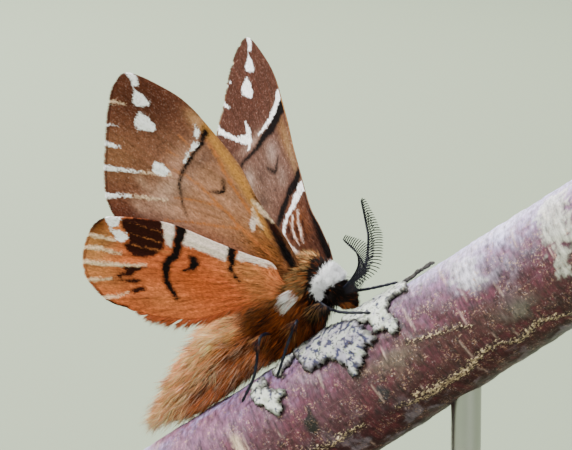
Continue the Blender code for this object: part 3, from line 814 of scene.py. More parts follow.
@dataclass(frozen=True)
class Coat:
    """One patch of hair on the trunk: where it grows, how long and how steep it is.

    Start and end are shares of the trunk's length, low and high are angles round it in half turns, lift is in
    degrees, and a clump is how far tufts part.
    """

    name: str
    slot: str
    start: float
    end: float
    hairs: int
    length: float
    lift: float
    radius: float = 0.03
    low: float = -1.0
    high: float = 1.0
    curl: float = 0.6
    clump: float = 0.18
    seed: int = 1
    forward: bool = False
    mirrored: bool = False
    slant: float = 0.0
    fall: float = 0.0
    mottle: float = 0.45
    low_shade: float = 0.0
    translucent: bool = False
    tint: str = ""
    nodes: tuple = ()
    tuft_count: int = 400
    tufts_along: int = 55
    tufts_round: float = 4.0
    tuft_step: int = 23
    single_share: float = 0.45
    root_depth: float = 0.1
    tip_gain: float = 1.6

    def build(self, skin: Skin, colours: CoatColours, spikes: Spikes) -> None:
        """Builds the patch as one mesh of hairs that follow the trunk's lie.

        Args:
            skin: Skin that the hairs grow on.
            colours: Colours of the hair by place.
            spikes: Maker of the hairs.
        """
        draw = np.random.default_rng(self.seed)
        share, angle = self._roots(skin, draw)
        back, normal = skin.directions(share, angle)
        lie = -back if self.forward else back
        tufts = draw.normal(0.0, self.clump, (self.tuft_count, 3))
        cell = np.floor(share * self.tufts_along) * self.tuft_step
        cell = (cell + np.floor((angle + math.pi) * self.tufts_round)).astype(int) % self.tuft_count
        lean = tufts[cell] + draw.normal(0.0, self.clump * self.single_share, (len(share), 3))
        rise = math.radians(self.lift) * draw.uniform(0.6, 1.35, len(share))[:, None]
        way = unit(lie * np.cos(rise) + normal * np.sin(rise) + lean - np.array([0.0, 0.0, self.fall]))
        size = (self.length * draw.uniform(0.65, 1.2, len(share)))[:, None]
        droop = unit(way * (1 - self.curl) + lie * self.curl + lean * 0.5)
        paths = bent_lines(skin.point(share, angle, -self.root_depth), way, droop, size)
        tints = self._tints(share, angle, tufts[cell][:, :1], colours, draw)
        patches = np.stack([share, (angle + math.pi) / (2 * math.pi)], axis=-1)
        radii = self.radius * draw.uniform(0.7, 1.3, len(share))
        place_piece(spikes.build(self.name, paths, radii, tints, patches), self.nodes)

    def _roots(self, skin: Skin, draw: Generator) -> tuple[Array, Array]:
        """Draws where the hairs are rooted, evenly over the skin.

        Args:
            skin: Skin that the hairs grow on.
            draw: Source of random numbers.

        Returns:
            Shares of the trunk's length and angles round it.
        """
        share = draw.uniform(self.start, self.end, self.hairs * 2)
        _, _, width, height = skin.at(share)
        keep = draw.uniform(0.0, 1.0, len(share)) < (width + height) / (width + height).max()
        share = share[keep][: self.hairs]
        angle = draw.uniform(self.low * math.pi, self.high * math.pi, len(share))
        if self.mirrored:
            angle = np.where(draw.uniform(0.0, 1.0, len(share)) < 0.5, angle, math.pi - angle)
        return share - self.slant * (1.0 - np.sin(angle)) ** 2, angle

    def _tints(
        self, share: Array, angle: Array, shade: Array, colours: CoatColours, draw: Generator
    ) -> Array:
        """Colours of the hairs: by place or one tint, shaded by tuft, with dark and bright hairs among them.

        Args:
            share: Shares of the trunk's length.
            angle: Angles round the trunk.
            shade: How much lighter or darker each hair's tuft is.
            colours: Colours of the hair by place.
            draw: Source of random numbers.

        Returns:
            Colour of each hair at its root and at its tip.
        """
        tint = np.tile(rgb(self.tint), (len(share), 1)) if self.tint else colours.at(share, angle)
        tint = tint * (1 + shade * 1.2) * draw.uniform(0.7, 1.35, (len(share), 1))
        tint = tint * (1.0 - self.low_shade * smooth(0.95 - np.sin(angle), 0.0, 0.7))[:, None]
        lot = draw.uniform(0.0, 1.0, (len(share), 1))
        # Painted backlight: on the abdomen's back and tip, where the fringe is lit from behind, fewer hairs
        # are dark and the roots are as bright as the tips allow
        fair_and_backlit = smooth(np.sin(angle), 0.1, 0.5) * smooth(0.5 - share, 0.0, 0.05)
        fair_and_backlit = np.maximum(fair_and_backlit, smooth(0.16 - share, 0.0, 0.1))[:, None]
        tint = np.where(lot < self.mottle * 0.6 * (1.0 - 0.7 * fair_and_backlit), tint * 0.22, tint)
        bright = blend(rgb(colours.pale), rgb(colours.amber), smooth(share, 0.45, 0.6))
        tint = np.where(lot > 1.0 - self.mottle * 0.4, tint * 0.4 + bright * 0.6, tint)
        root_gain = np.maximum(1.1 if self.mottle == 0.0 else 0.8, fair_and_backlit)
        return np.stack([tint * root_gain, tint * self.tip_gain], axis=1)


def _to_segment(plan: Array, a: Array, b: Array) -> tuple[Array, Array]:
    """The way from places to a segment.

    Args:
        plan: Places on a plan.
        a: Start of the segment.
        b: End of the segment.

    Returns:
        Each place's distance to the segment, and the share along it of the nearest spot.
    """
    along = b - a
    t = np.clip((plan - a) @ along / max(along @ along, 1e-12), 0.0, 1.0)
    return np.linalg.norm(plan - a - t[:, None] * along, axis=1), t


@dataclass(frozen=True)
class Mark:
    """A shape on a plan: a closed patch, or a stroke where widths are given."""

    points: tuple
    widths: tuple = ()
    far: float = 9.0

    def field(self, plan: Array) -> Array:
        """How far places are inside the shape.

        Args:
            plan: Places on the plan.

        Returns:
            Signed distances to the shape's edge, in millimetres, above zero inside.
        """
        if self.widths:
            return self._stroke(plan)
        points = np.array(self.points)
        inside = np.zeros(len(plan), bool)
        distance = np.full(len(plan), self.far)
        for a, b in zip(points, np.roll(points, -1, axis=0)):
            distance = np.minimum(distance, _to_segment(plan, a, b)[0])
            crosses = (a[1] > plan[:, 1]) != (b[1] > plan[:, 1])
            rise = b[1] - a[1] if abs(b[1] - a[1]) > TINY else TINY
            inside ^= crosses & (plan[:, 0] < (b[0] - a[0]) * (plan[:, 1] - a[1]) / rise + a[0])
        return np.where(inside, distance, -distance)

    def _stroke(self, plan: Array) -> Array:
        """How far places are inside a line whose width changes along it.

        Args:
            plan: Places on the plan.

        Returns:
            Signed distances to the line's edge, above zero inside.
        """
        shares = np.linspace(0.0, 1.0, CURVE_STEPS)
        line = curve(self.points, shares)
        widths = np.interp(shares, np.linspace(0.0, 1.0, len(self.widths)), self.widths)
        best = np.full(len(plan), NO_MARK)
        for a, b, w0, w1 in zip(line, line[1:], widths, widths[1:]):
            distance, t = _to_segment(plan, a, b)
            best = np.maximum(best, (w0 * (1 - t) + w1 * t) / 2 - distance)
        return best


@dataclass(frozen=True)
class Wash:
    """A soft patch of ground colour: its middle, its reach along both axes, its colour and its strength."""

    middle: tuple
    reach: tuple
    colour: str
    strength: float = 1.0

    def share(self, plan: Array) -> Array:
        """How much of the wash lies at each place on the plan, before its strength."""
        off = (plan - np.array(self.middle)) / np.array(self.reach)
        return np.exp(-np.sum(off**2, axis=1))


@dataclass(frozen=True)
class Pattern:
    """The colours of one face of a wing: its ground and its markings by ink, its own and shared ones."""

    ground: str
    washes: tuple
    marks: dict
    shared: dict = field(default_factory=dict)

    def ground_at(self, plan: Array) -> Array:
        """Ground colours at places on the plan."""
        washes = ((rgb(wash.colour), wash.share(plan) * wash.strength) for wash in self.washes)
        return layered(np.tile(rgb(self.ground), (len(plan), 1)), *washes)

    def fields(self, plan: Array) -> dict[Ink, Array]:
        """How far places are inside the markings.

        Args:
            plan: Places on the plan.

        Returns:
            For each ink, the signed distances to its nearest marking.
        """
        fields = {ink: np.full(len(plan), NO_MARK) for ink in Ink}
        for ink, marks in [*self.shared.items(), *self.marks.items()]:
            for mark in marks:
                fields[ink] = np.maximum(fields[ink], mark.field(plan))
        return fields

    def colour_at(self, plan: Array) -> Array:
        """Colours with the markings, for hairs rooted on the wing.

        Args:
            plan: Places on the plan.

        Returns:
            One colour for each place.
        """
        fields = self.fields(plan)
        inks = ((rgb(code), smooth(fields[ink], -0.1, 0.1)) for ink, (code, _) in INKS.items())
        return layered(self.ground_at(plan), *inks)


def stroke(widths: tuple, *points: tuple) -> Mark:
    """A shape drawn as a line."""
    return Mark(points, widths)


def patch(*points: tuple) -> Mark:
    """A shape drawn as a closed patch."""
    return Mark(points)


# Places on the wings' plans are (u, v) in millimetres: from the hinge to the tip, and across to the hind edge
FORE_SPOTS = (
    patch((25.7, 0), (26.5, -0.45), (27.6, -0.3), (27.6, 0.15), (26.5, 0.25), (26.1, 0.45)),
    patch((23.3, 0.45), (24.5, 0.3), (25.7, 0.6), (25.2, 1.05), (24.7, 1.6), (24.2, 1.6), (23.8, 1.2)),
    patch((20.9, 1.9), (21.4, 1.5), (22.5, 1.5), (23.6, 1.75), (23.2, 2.5), (22.8, 3), (22, 3)),
)
FORE_UNDER = Pattern(
    ground="#5E3323",
    washes=(
        Wash((10.5, 2.2), (7.5, 4), "#B07D60"), Wash((9.5, 5), (4.5, 2.6), "#AC7455", 0.9),
        Wash((21.5, 6.5), (3, 3), "#885A3E", 0.85), Wash((15.2, 5), (1.3, 2.2), "#C49B86", 0.8),
        Wash((12.6, 6.6), (2.6, 1.6), "#B98C72", 0.7), Wash((16.9, 1.6), (1, 2.6), "#B7866E", 0.75),
        Wash((19, -1.7), (1.3, 0.6), "#C08E62", 0.8), Wash((17.6, 6.3), (1.2, 0.4), "#B48A72", 0.7),
        Wash((15.7, 8.2), (1.3, 0.45), "#B48A72", 0.7), Wash((24, 0.5), (3, 2.5), "#431F11", 0.85),
        Wash((15.5, 0.8), (0.8, 2), "#6B4C40", 0.7), Wash((14.4, 4.4), (0.7, 1.6), "#7C5A4A", 0.5),
        Wash((3.5, 2), (4, 2), "#9C5F2A", 0.85), Wash((2.5, 0.2), (4, 0.9), "#4A2C18", 0.7),
    ),
    marks={
        Ink.WHITE: (
            *FORE_SPOTS, stroke((0.22, 0.05), (24.7, 5), (23.8, 4.2)),
            stroke((0.48, 0.1), (23.2, 6.2), (22, 5.5)),
            stroke((0.62, 0.35, 0.1), (21.6, 8.2), (20, 6.9), (18.6, 5.7)),
            stroke((0.7, 0.3, 0.1), (19.1, 9.9), (18.2, 8.9), (17.2, 8)),
            patch((16.5, 4.1), (16.9, 3.5), (17.8, 3.6), (18.5, 4), (18, 4.8), (17.3, 4.7)),
            patch((18.7, -1.4), (17.9, -1.3), (17.5, -0.7), (17.9, -0.5)),
            patch((17.6, -0.2), (16.9, -0.4), (16.8, 0.5), (16.9, 0.9)),
            stroke((0.3, 0.12), (16.9, 1), (16.4, 2)),
        ),
        Ink.OCHRE: (
            stroke((0.9, 1, 1.1, 0.8), (17.8, -1.9), (14.5, -1.4), (10.9, -0.9), (8.2, -0.3)),
            stroke((0.9, 0.7, 0.3), (7.6, 0), (6.2, 0.5), (4.5, 0.9)),
        ),
        Ink.PALE: (
            stroke((0.24, 0.05), (26.4, 3.2), (25, 2.2)), stroke((0.12, 0.12), (18.6, 5.7), (16.3, 3.8)),
            stroke((0.14, 0.1), (17.5, 8.2), (14.5, 5.8)),
            stroke((0.1, 0.4, 0.1), (8, 0.1), (7, 0.6), (5.6, 0.9)),
            stroke((0.05, 0.45, 0.1), (8.7, -0.4), (7, -0.35), (5.5, -0.4)),
        ),
        Ink.BLACK: (
            patch((18.1, -1.9), (17, -1.9), (16.7, -0.6), (16.9, -0.4), (17.4, -0.9)),
            stroke((0.6, 0.45, 0.5, 0.35), (16.8, -0.6), (16.5, 0.7), (16.1, 1.7), (15.8, 2.6), (15.5, 3.1)),
            stroke((0.35, 0.2, 0.1), (15.5, 3.1), (15.1, 3.7), (14.1, 4.3), (13.1, 4.9), (11.9, 5.4)),
            stroke((0.05, 0.4, 0.45, 0.1), (12.7, 0.2), (11.8, 0.7), (11.4, 1.3), (12.3, 2.1)),
            stroke((0.5, 0.8, 0.5, 0.05), (-0.6, 1.3), (1.2, 0.9), (3.2, 0.5), (5.2, 0.2)),
        ),
        Ink.UMBER: (stroke((0.5, 0.7, 0.5, 0.1), (2, 0.6), (4.2, 0.1), (6, -0.3), (9.6, -0.9)),),
        Ink.ORANGE: (
            stroke((0.16, 0.26, 0.3), (17.6, -1.2), (15.1, -0.9), (12, -0.1), (8.9, 0.4), (7.5, 0.6)),
            stroke((0.14, 0.24, 0.3, 0.3), (15.4, 2.8), (13.1, 2.4), (9.7, 2.3), (6.6, 2.3), (3, 2.1)),
            stroke((0.1, 0.2), (14.1, 5), (12.7, 3.8), (11, 2.7), (9.3, 2.3)),
            stroke((0.12, 0.24), (13, 7.2), (10.9, 5.4), (9.1, 4), (7.3, 2.6)),
            stroke((0.1, 0), (17.3, 2), (18.7, 2.5)), stroke((0.12, 0), (15.5, 2.9), (18, 3.6)),
            stroke((0.1, 0), (17, 0.4), (19, 0.5)),
        ),
        Ink.CREAM: (patch((7.4, 0.8), (6.6, 0.7), (5.9, 1.7), (6.6, 1.7)),),
    },
)
FORE_UPPER = Pattern(
    ground="#4B2B20",
    washes=(
        Wash((12, 3), (4.5, 4), "#694D42", 0.9), Wash((14.3, -1), (2.6, 0.7), "#825932", 0.7),
        Wash((12, -1.2), (3, 0.5), "#9A7752", 0.6), Wash((4.2, 1), (2.6, 1.6), "#713E1E", 0.9),
        Wash((16.6, 3.4), (0.6, 2), "#A7897A", 0.7), Wash((22, 3), (4.5, 4), "#47261B", 0.9),
        Wash((10, 7), (4, 3), "#6F5343", 0.7), Wash((13.6, 1.4), (1.2, 0.8), "#977E73", 0.65),
        Wash((12.3, 3.8), (1.1, 0.8), "#3A261E", 0.6), Wash((10.3, 1), (1.2, 0.7), "#866C60", 0.6),
        Wash((13.2, 5.6), (1.2, 0.7), "#9E8678", 0.55), Wash((9.7, 4.9), (0.9, 0.9), "#30211C", 0.6),
        Wash((11.2, 6.6), (1.4, 0.6), "#977E71", 0.55),
    ),
    marks={
        Ink.WHITE: (
            *FORE_SPOTS,
            stroke((1.2, 0.9, 0.6, 0.45, 0.4), (7.6, -1.6), (7.4, -0.6), (6.6, 0.7), (5.9, 2.3), (4.6, 3.3)),
            patch((17, 4.1), (18, 4.4), (18.6, 5.6), (17.6, 5.4), (16.9, 4.7)),
            stroke((0.9, 0.8, 0.5, 0.2), (18.7, -2.2), (18.1, -1.6), (17.3, 0), (16.8, 1.4), (16.6, 2.4)),
            stroke((0.25, 0.6, 0.7, 0.3), (19.2, 3.9), (18.2, 3.9), (17.3, 4), (16.3, 4.6)),
            stroke((0.5, 0.35, 0.5, 0.9), (17.2, 4.4), (18.2, 5.7), (19.6, 6.9), (21.9, 8.8)),
            stroke((0.5, 0.15), (23.4, 6.4), (22.3, 5.6)), stroke((0.28, 0.1), (25.1, 4.5), (24.5, 4.2)),
        ),
        Ink.CREAM: (
            stroke((0.4, 0.3, 0.25), (4.6, 3.3), (3.2, 2.9), (1.6, 2), (0.2, 1)),
            stroke((0.1, 0.2, 0.1), (5.7, 1.2), (4.8, 1.6), (3.8, 1.8), (2.4, 1.5)),
            stroke((0.08, 0.15, 0.08), (5.8, 0.3), (4.6, 0.7), (2.3, 1)),
        ),
        Ink.UMBER: (
            patch((5.2, 2.5), (4.4, 2.7), (4.3, 2.2), (5, 2)),
            patch((4, 2.5), (3.3, 2.4), (3.3, 2.1), (3.9, 2.1)),
            patch((4.6, 1.3), (3.2, 1.5), (2.8, 1.2), (4.2, 1)), stroke((0.3, 0.2), (4.4, 0.2), (2.2, 0.5)),
        ),
        Ink.BLACK: (
            stroke((0.9, 1.2, 0.8, 1, 0.7), (9.3, -1.7), (8.6, -0.6), (8.2, 0.6), (7.4, 1.9), (6.1, 3.7)),
            stroke((0.1, 0.4, 0.45, 0.1), (12.7, 0.7), (11.8, 1.3), (11.5, 1.8), (12.8, 2.9)),
            stroke(
                (1.5, 1.4, 1.1, 0.9, 0.6), (17.2, -2.1), (16.7, -0.8), (16.1, 0.6), (15.8, 2.3), (15.6, 3.6)
            ),
            stroke((0.6, 0.4, 0.1), (15.7, 3.6), (15.5, 4.6), (15.4, 6), (14.4, 8)),
            stroke((0.9, 0.7, 0.2), (-0.4, -1.2), (3.3, -1.3), (7, -1.4)),
        ),
    },
)
HIND_MARGIN = {
    Ink.UMBER: (
        stroke(
            (0.3, 0.3), (20.5, 0.1), (21.05, 1.1), (21.15, 2.2), (21, 3.5), (20.3, 5.4), (19.3, 6.85),
            (18.3, 7.5), (16.8, 8.2), (15.3, 8.5), (13.9, 8.3)
        ),
        patch(
            (17.4, 4.5), (16, 4), (14.2, 3.5), (14.8, 4.4), (15.2, 5.1), (16, 5.6), (17, 6.1), (16.5, 5.5),
            (15.9, 4.8), (16.4, 4.5)
        ),
        patch((16.8, 6.3), (15.7, 5.6), (14.5, 5.1), (13.9, 5.1), (14.2, 5.7), (15, 5.8), (15.9, 6)),
        patch((14.5, 6.7), (14, 5.9), (13.5, 5.6), (12.9, 5.9), (13.6, 6.4), (14, 6.7)),
    ),
    Ink.PALE: (
        stroke((0.4, 0.3, 0.16), (21.2, 2.5), (20.4, 2.35), (19.4, 2.2), (18.5, 2.1)),
        stroke((0.36, 0.28, 0.12), (20.9, 3.9), (19.4, 3.45), (18.2, 3.35), (17.2, 3.2)),
        stroke((0.5, 0.36, 0.22, 0.1), (20.5, 5.35), (19.4, 5.1), (17.6, 4.6), (14.4, 3.4)),
        stroke((0.42, 0.3, 0.1), (19.2, 7.2), (17.9, 6.6), (16.9, 6.1)),
        stroke((0.36, 0.24, 0.1), (16.7, 8.3), (15.6, 7.7), (14.6, 6.9)),
    ),
    Ink.WHITE: (
        patch((18.9, -0.5), (20.5, 0), (20.2, 0.5), (19.4, 0.9), (18.9, 0.5)),
        patch((17.3, 1.4), (17.6, 1), (18.6, 0.95), (19.5, 1), (18.9, 1.5), (18.3, 2), (17.6, 2)),
    ),
    Ink.BLACK: (
        stroke(
            (1.25, 1.15, 0.9, 1, 0.95, 0.9, 0.75, 0.65, 0.6, 0.45), (13, -1.8), (12.7, -0.8), (12.6, -0.2),
            (12.2, 0.7), (12.1, 1.4), (12.5, 2.3), (12.2, 3.1), (11.6, 4.2), (10.6, 5), (9.7, 5.6)
        ),
        patch((10.9, 0.8), (10.1, 0.6), (9.4, 1.2), (9.5, 2.1), (10.8, 2.7), (10.3, 1.8)),
    ),
}
HIND_UNDER = Pattern(
    ground="#C46238",
    washes=(
        Wash((19.8, 3.4), (2, 4.2), "#C38452", 0.85), Wash((20.2, 2.8), (1.4, 1.6), "#A06A3A", 0.8),
        Wash((20.7, 1.1), (1, 1.1), "#6E3C18", 1), Wash((17.5, 6), (2.5, 1.6), "#C07B48", 0.6),
        Wash((4.2, 0.2), (2.8, 1.4), "#CC8450", 1), Wash((2.4, 1.4), (2, 1.4), "#B47242", 0.9),
        Wash((8.5, 3.5), (3.5, 2), "#B9521F", 0.6), Wash((11, 6.2), (3, 1.6), "#CF7A48", 0.5),
    ),
    marks={
        Ink.UMBER: (
            patch(
                (19.1, -0.3), (17.7, -1), (15.5, -1.6), (14.7, -1.6), (14.2, -0.4), (13.8, 0.1), (13.5, 1.2),
                (14, 2.2), (14.9, 2.7), (15.9, 2.9), (16.6, 2.8), (17.5, 2.1), (17.1, 1.6), (17.7, 0.9),
                (18.4, 0.5)
            ),
        ),
        Ink.ORANGE: (
            # Widths below zero leave only the soft edge of a vein's line
            stroke((-0.16, -0.08), (18, -0.3), (16.3, -0.4), (15, -0.5), (14.2, -0.4)),
            stroke((-0.14, -0.06, 0.08), (17.4, 0.8), (16, 0.7), (14.5, 0.6), (13.2, 0.7), (12.4, 0.8)),
            stroke((-0.12, -0.04, 0.1), (17.8, 2.1), (16.4, 1.8), (14.8, 1.6), (13.4, 1.4), (12.5, 1.2)),
        ),
        Ink.CREAM: (
            patch((12.6, -1.8), (12.2, -0.1), (9.5, -0.1), (7.2, 0), (7.2, -1.8)),
            patch((6.4, -1.8), (6.4, -0.6), (4.6, -0.85), (3, -0.9), (1.8, -1.3), (3, -1.8)),
            patch(
                (15.1, -1.6), (13.8, -1.8), (13.2, -0.9), (13.1, 0), (12.9, 0.7), (13.6, 0.5), (14.1, -0.2)
            ),
        ),
        Ink.BLACK: (
            stroke((0.95, 0.9, 0.6, 0.35, 0.3), (7.2, -1.8), (6.9, -0.8), (6.4, 0), (6.2, 0.7), (4.8, 1.5)),
        ),
    },
    shared=HIND_MARGIN,
)
HIND_UPPER = Pattern(
    ground="#B9582A",
    washes=(
        Wash((19.5, 4), (2, 4.5), "#9C6A48", 0.7), Wash((6, -1), (5, 1), "#8E5A38", 0.7),
        Wash((3, 1.8), (3.5, 2.5), "#6B3A20", 0.9),
    ),
    marks={
        Ink.UMBER: (
            patch((18.8, -0.4), (15, -1.2), (14, -0.2), (14.4, 1), (15.8, 2.7), (17.2, 2.2), (17.5, 0.7)),
        ),
    },
    shared=HIND_MARGIN,
)


@dataclass(frozen=True)
class WingPlan:
    """A wing: three places of the left one, its outline, its veins, how it is bent and how it is dusted.

    Side is 1 for a left wing and -1 for a right one. Hind and base hair are the longest hairs at the hind
    edge and over the base, and glow is a colour that shows through the base hair.
    """

    hinge: tuple
    tip: tuple
    hind_corner: tuple
    costa: tuple
    costa_right: tuple
    outer: tuple
    inner: tuple
    veins: tuple
    under: Pattern
    upper: Pattern
    curl: float
    lift: float
    pleat: float
    slot: str
    dust: str
    streaks: tuple
    hind_hair: float
    base_hair: float
    glow: str = ""
    side: float = 1.0
    vein_height: float = 0.09
    vein_width: float = 0.16
    folds: float = 26.0

    def frame(self) -> Matrix:
        """Where the wing's plan lies.

        Returns:
            The matrix from the plan to the row frame: its third axis is the outward face's normal.
        """
        hinge, tip, corner = Vector(self.hinge), Vector(self.tip), Vector(self.hind_corner)
        u = (tip - hinge).normalized()
        v = (corner - hinge) - u * (corner - hinge).dot(u)
        v.normalize()
        turn = Matrix((u, v, v.cross(u))).transposed().to_4x4()
        return Matrix.Scale(self.side, 4, LEFT) @ Matrix.Translation(hinge) @ turn

    def plan_at(self, across: Array, out: Array) -> Array:
        """Places on the plan, between its four edges.

        Args:
            across: Shares of the way from the front edge to the hind edge.
            out: Shares of the way from the body to the outer margin.

        Returns:
            One (u, v) for each pair of shares.
        """
        costa = self.costa if self.side > 0 else self.costa_right
        front, hind = curve(costa, out), curve(self.inner, out)
        end = curve(self.outer, across)
        corners = [np.array(p) for p in (costa[0], self.inner[0], self.outer[0], self.outer[-1])]
        root = corners[0] + (corners[1] - corners[0]) * across[:, None]
        a, o = across[:, None], out[:, None]
        front_corners = corners[0] * (1 - o) + corners[2] * o
        hind_corners = corners[1] * (1 - o) + corners[3] * o
        lofted = front * (1 - a) + hind * a + root * (1 - o) + end * o
        return lofted - (front_corners * (1 - a) + hind_corners * a)

    def height(self, plan: Array) -> Array:
        """How far the wing's sheet stands off its plane: bent at its base, folded and ridged by veins.

        Args:
            plan: Places on the plan.

        Returns:
            Heights towards the outward face.
        """
        u, v = plan[:, 0], plan[:, 1]
        near_front = np.clip(1.0 - (v + 1.7) / 3.2, 0.0, 1.2)
        bent = self.lift + self.curl * np.clip(1.0 - u / 9.0, 0.0, 1.0) ** 2 * near_front
        ridge = np.full(len(plan), NO_MARK)
        for points in self.veins:
            ridge = np.maximum(ridge, stroke((0.0, 0.0), *points).field(plan))
        fan = np.arctan2(v + 1.0, np.maximum(u, 0.5))
        folds = self.pleat * np.sin(fan * self.folds) * smooth(u, 3.0, 14.0)
        return bent + folds + self.vein_height * np.exp(-((ridge / self.vein_width) ** 2))

    def place(self, plan: Array, off: Array | float = 0.0) -> Array:
        """Places in the row frame of spots on the plan.

        Args:
            plan: Places on the plan.
            off: How far the places stand off the wing's sheet.

        Returns:
            One place for each spot.
        """
        spots = np.column_stack([plan, self.height(plan) + off])
        turn = np.array(self.frame())
        return spots @ turn[:3, :3].T + turn[:3, 3]

    def normal(self) -> Array:
        """The outward face's normal in the row frame."""
        return np.array(self.frame())[:3, 2]


FORE_FRONT = (
    (12, -1.75), (15, -2.05), (18, -2.2), (20, -2.25), (22, -2.05), (24, -1.5), (26, -0.8), (27.3, -0.1),
    (27.75, 0.7)
)
HIND_FRONT = (
    (-1, 0.2), (0.9, -0.3), (2, -1.2), (3, -1.6), (5, -1.5), (9, -1.5), (13, -1.65), (15, -1.5), (16.5, -1.2),
    (18, -0.8), (19.3, -0.4), (20.2, 0), (20.7, 0.5)
)
FOREWING = WingPlan(
    hinge=(-7.56, 1.62, 40.73), tip=(-20.54, 15.38, 60.7), hind_corner=(-22.57, 12.17, 44.78),
    costa=((-1.2, -1.4), (2.5, -1.5), (5, -1.3), (8.7, -1.6), *FORE_FRONT),
    costa_right=((-1.2, 1), (1.6, 0.15), (3.8, -0.34), (6, -0.55), (8.7, -0.9), *FORE_FRONT),
    outer=(
        (27.75, 0.7), (27.5, 1.7), (27.1, 2.5), (26.4, 3.3), (25, 4.8), (23.3, 6.4), (21.4, 8.1), (20, 9.2),
        (19, 9.9), (18, 10.3), (17, 10.6), (15.8, 10.85)
    ),
    inner=((-1.2, 1.7), (0, 2.4), (1, 3.5), (4, 5.5), (8, 8), (13, 10.5), (15.8, 10.85)),
    veins=(
        ((0, 1.5), (5, 0.2), (10, -0.6), (16, -0.8), (23, -0.9)),
        ((0, 2.1), (5, 2.3), (9, 2.8), (13, 3), (15.5, 2.9), (20, 4), (24.6, 5)),
        ((10.5, -0.4), (13.5, 0.3), (20, 0.6), (27.4, 1.4)),
        ((13, 0.3), (19, 1.6), (26.4, 3.2)),
        ((14, 3), (19, 4.6), (23.2, 6.2)),
        ((11, 3), (16.3, 4.4), (19.6, 6.6), (21.4, 8)),
        ((9, 2.8), (14.5, 5.8), (17.8, 8.5), (19, 9.8)),
        ((1, 2.9), (7, 6.2), (13, 9.4), (16.5, 10.6)),
    ),
    under=FORE_UNDER, upper=FORE_UPPER, curl=1.1, lift=-0.3, pleat=0.07, slot="brown_scales", dust="#CDB3A4",
    streaks=(0.85, 1.15), hind_hair=0.7, base_hair=2.0,
)
HINDWING = WingPlan(
    hinge=(-9.1, 2.2, 38.57), tip=(-23.76, 14.8, 46.8), hind_corner=(-23.1, 10.41, 36.81), costa=HIND_FRONT,
    costa_right=HIND_FRONT,
    outer=(
        (20.7, 0.5), (21.1, 1.3), (21.15, 2.3), (21, 3.4), (20.7, 4.6), (20.2, 5.6), (19.3, 6.8), (18.2, 7.5),
        (17, 8.1), (15.5, 8.45), (14, 8.4)
    ),
    inner=((-1, 1.4), (0.5, 2), (2, 3), (4, 4.5), (5.5, 6), (6.5, 6.7), (8, 7.4), (11, 8.2), (14, 8.4)),
    veins=(
        ((0, 0.6), (6, -0.6), (12, -0.7), (19.5, -0.2)),
        ((0, 0.9), (6, 1.2), (10, 1.4), (14, 1.6), (19.2, 2.2), (21.1, 2.5)),
        ((10, 2.4), (14, 2.5), (18.2, 3.2), (20.8, 3.9)),
        ((0, 1.3), (6, 2.4), (10, 2.8), (13.3, 3.3), (17, 4.4), (20.4, 5.4)),
        ((8, 2.7), (13, 4.6), (17, 6.1), (19.2, 7.2)),
        ((1, 1.7), (7, 4.2), (14.6, 7.4), (16.4, 8.4)),
        ((2, 2.4), (7, 5.6), (12, 7.8)),
    ),
    under=HIND_UNDER, upper=HIND_UPPER, curl=0.0, lift=0.35, pleat=0.06, slot="orange_scales", dust="#E08A50",
    streaks=(0.5, 1.4), hind_hair=1.6, base_hair=2.8, glow="#E2945A",
)


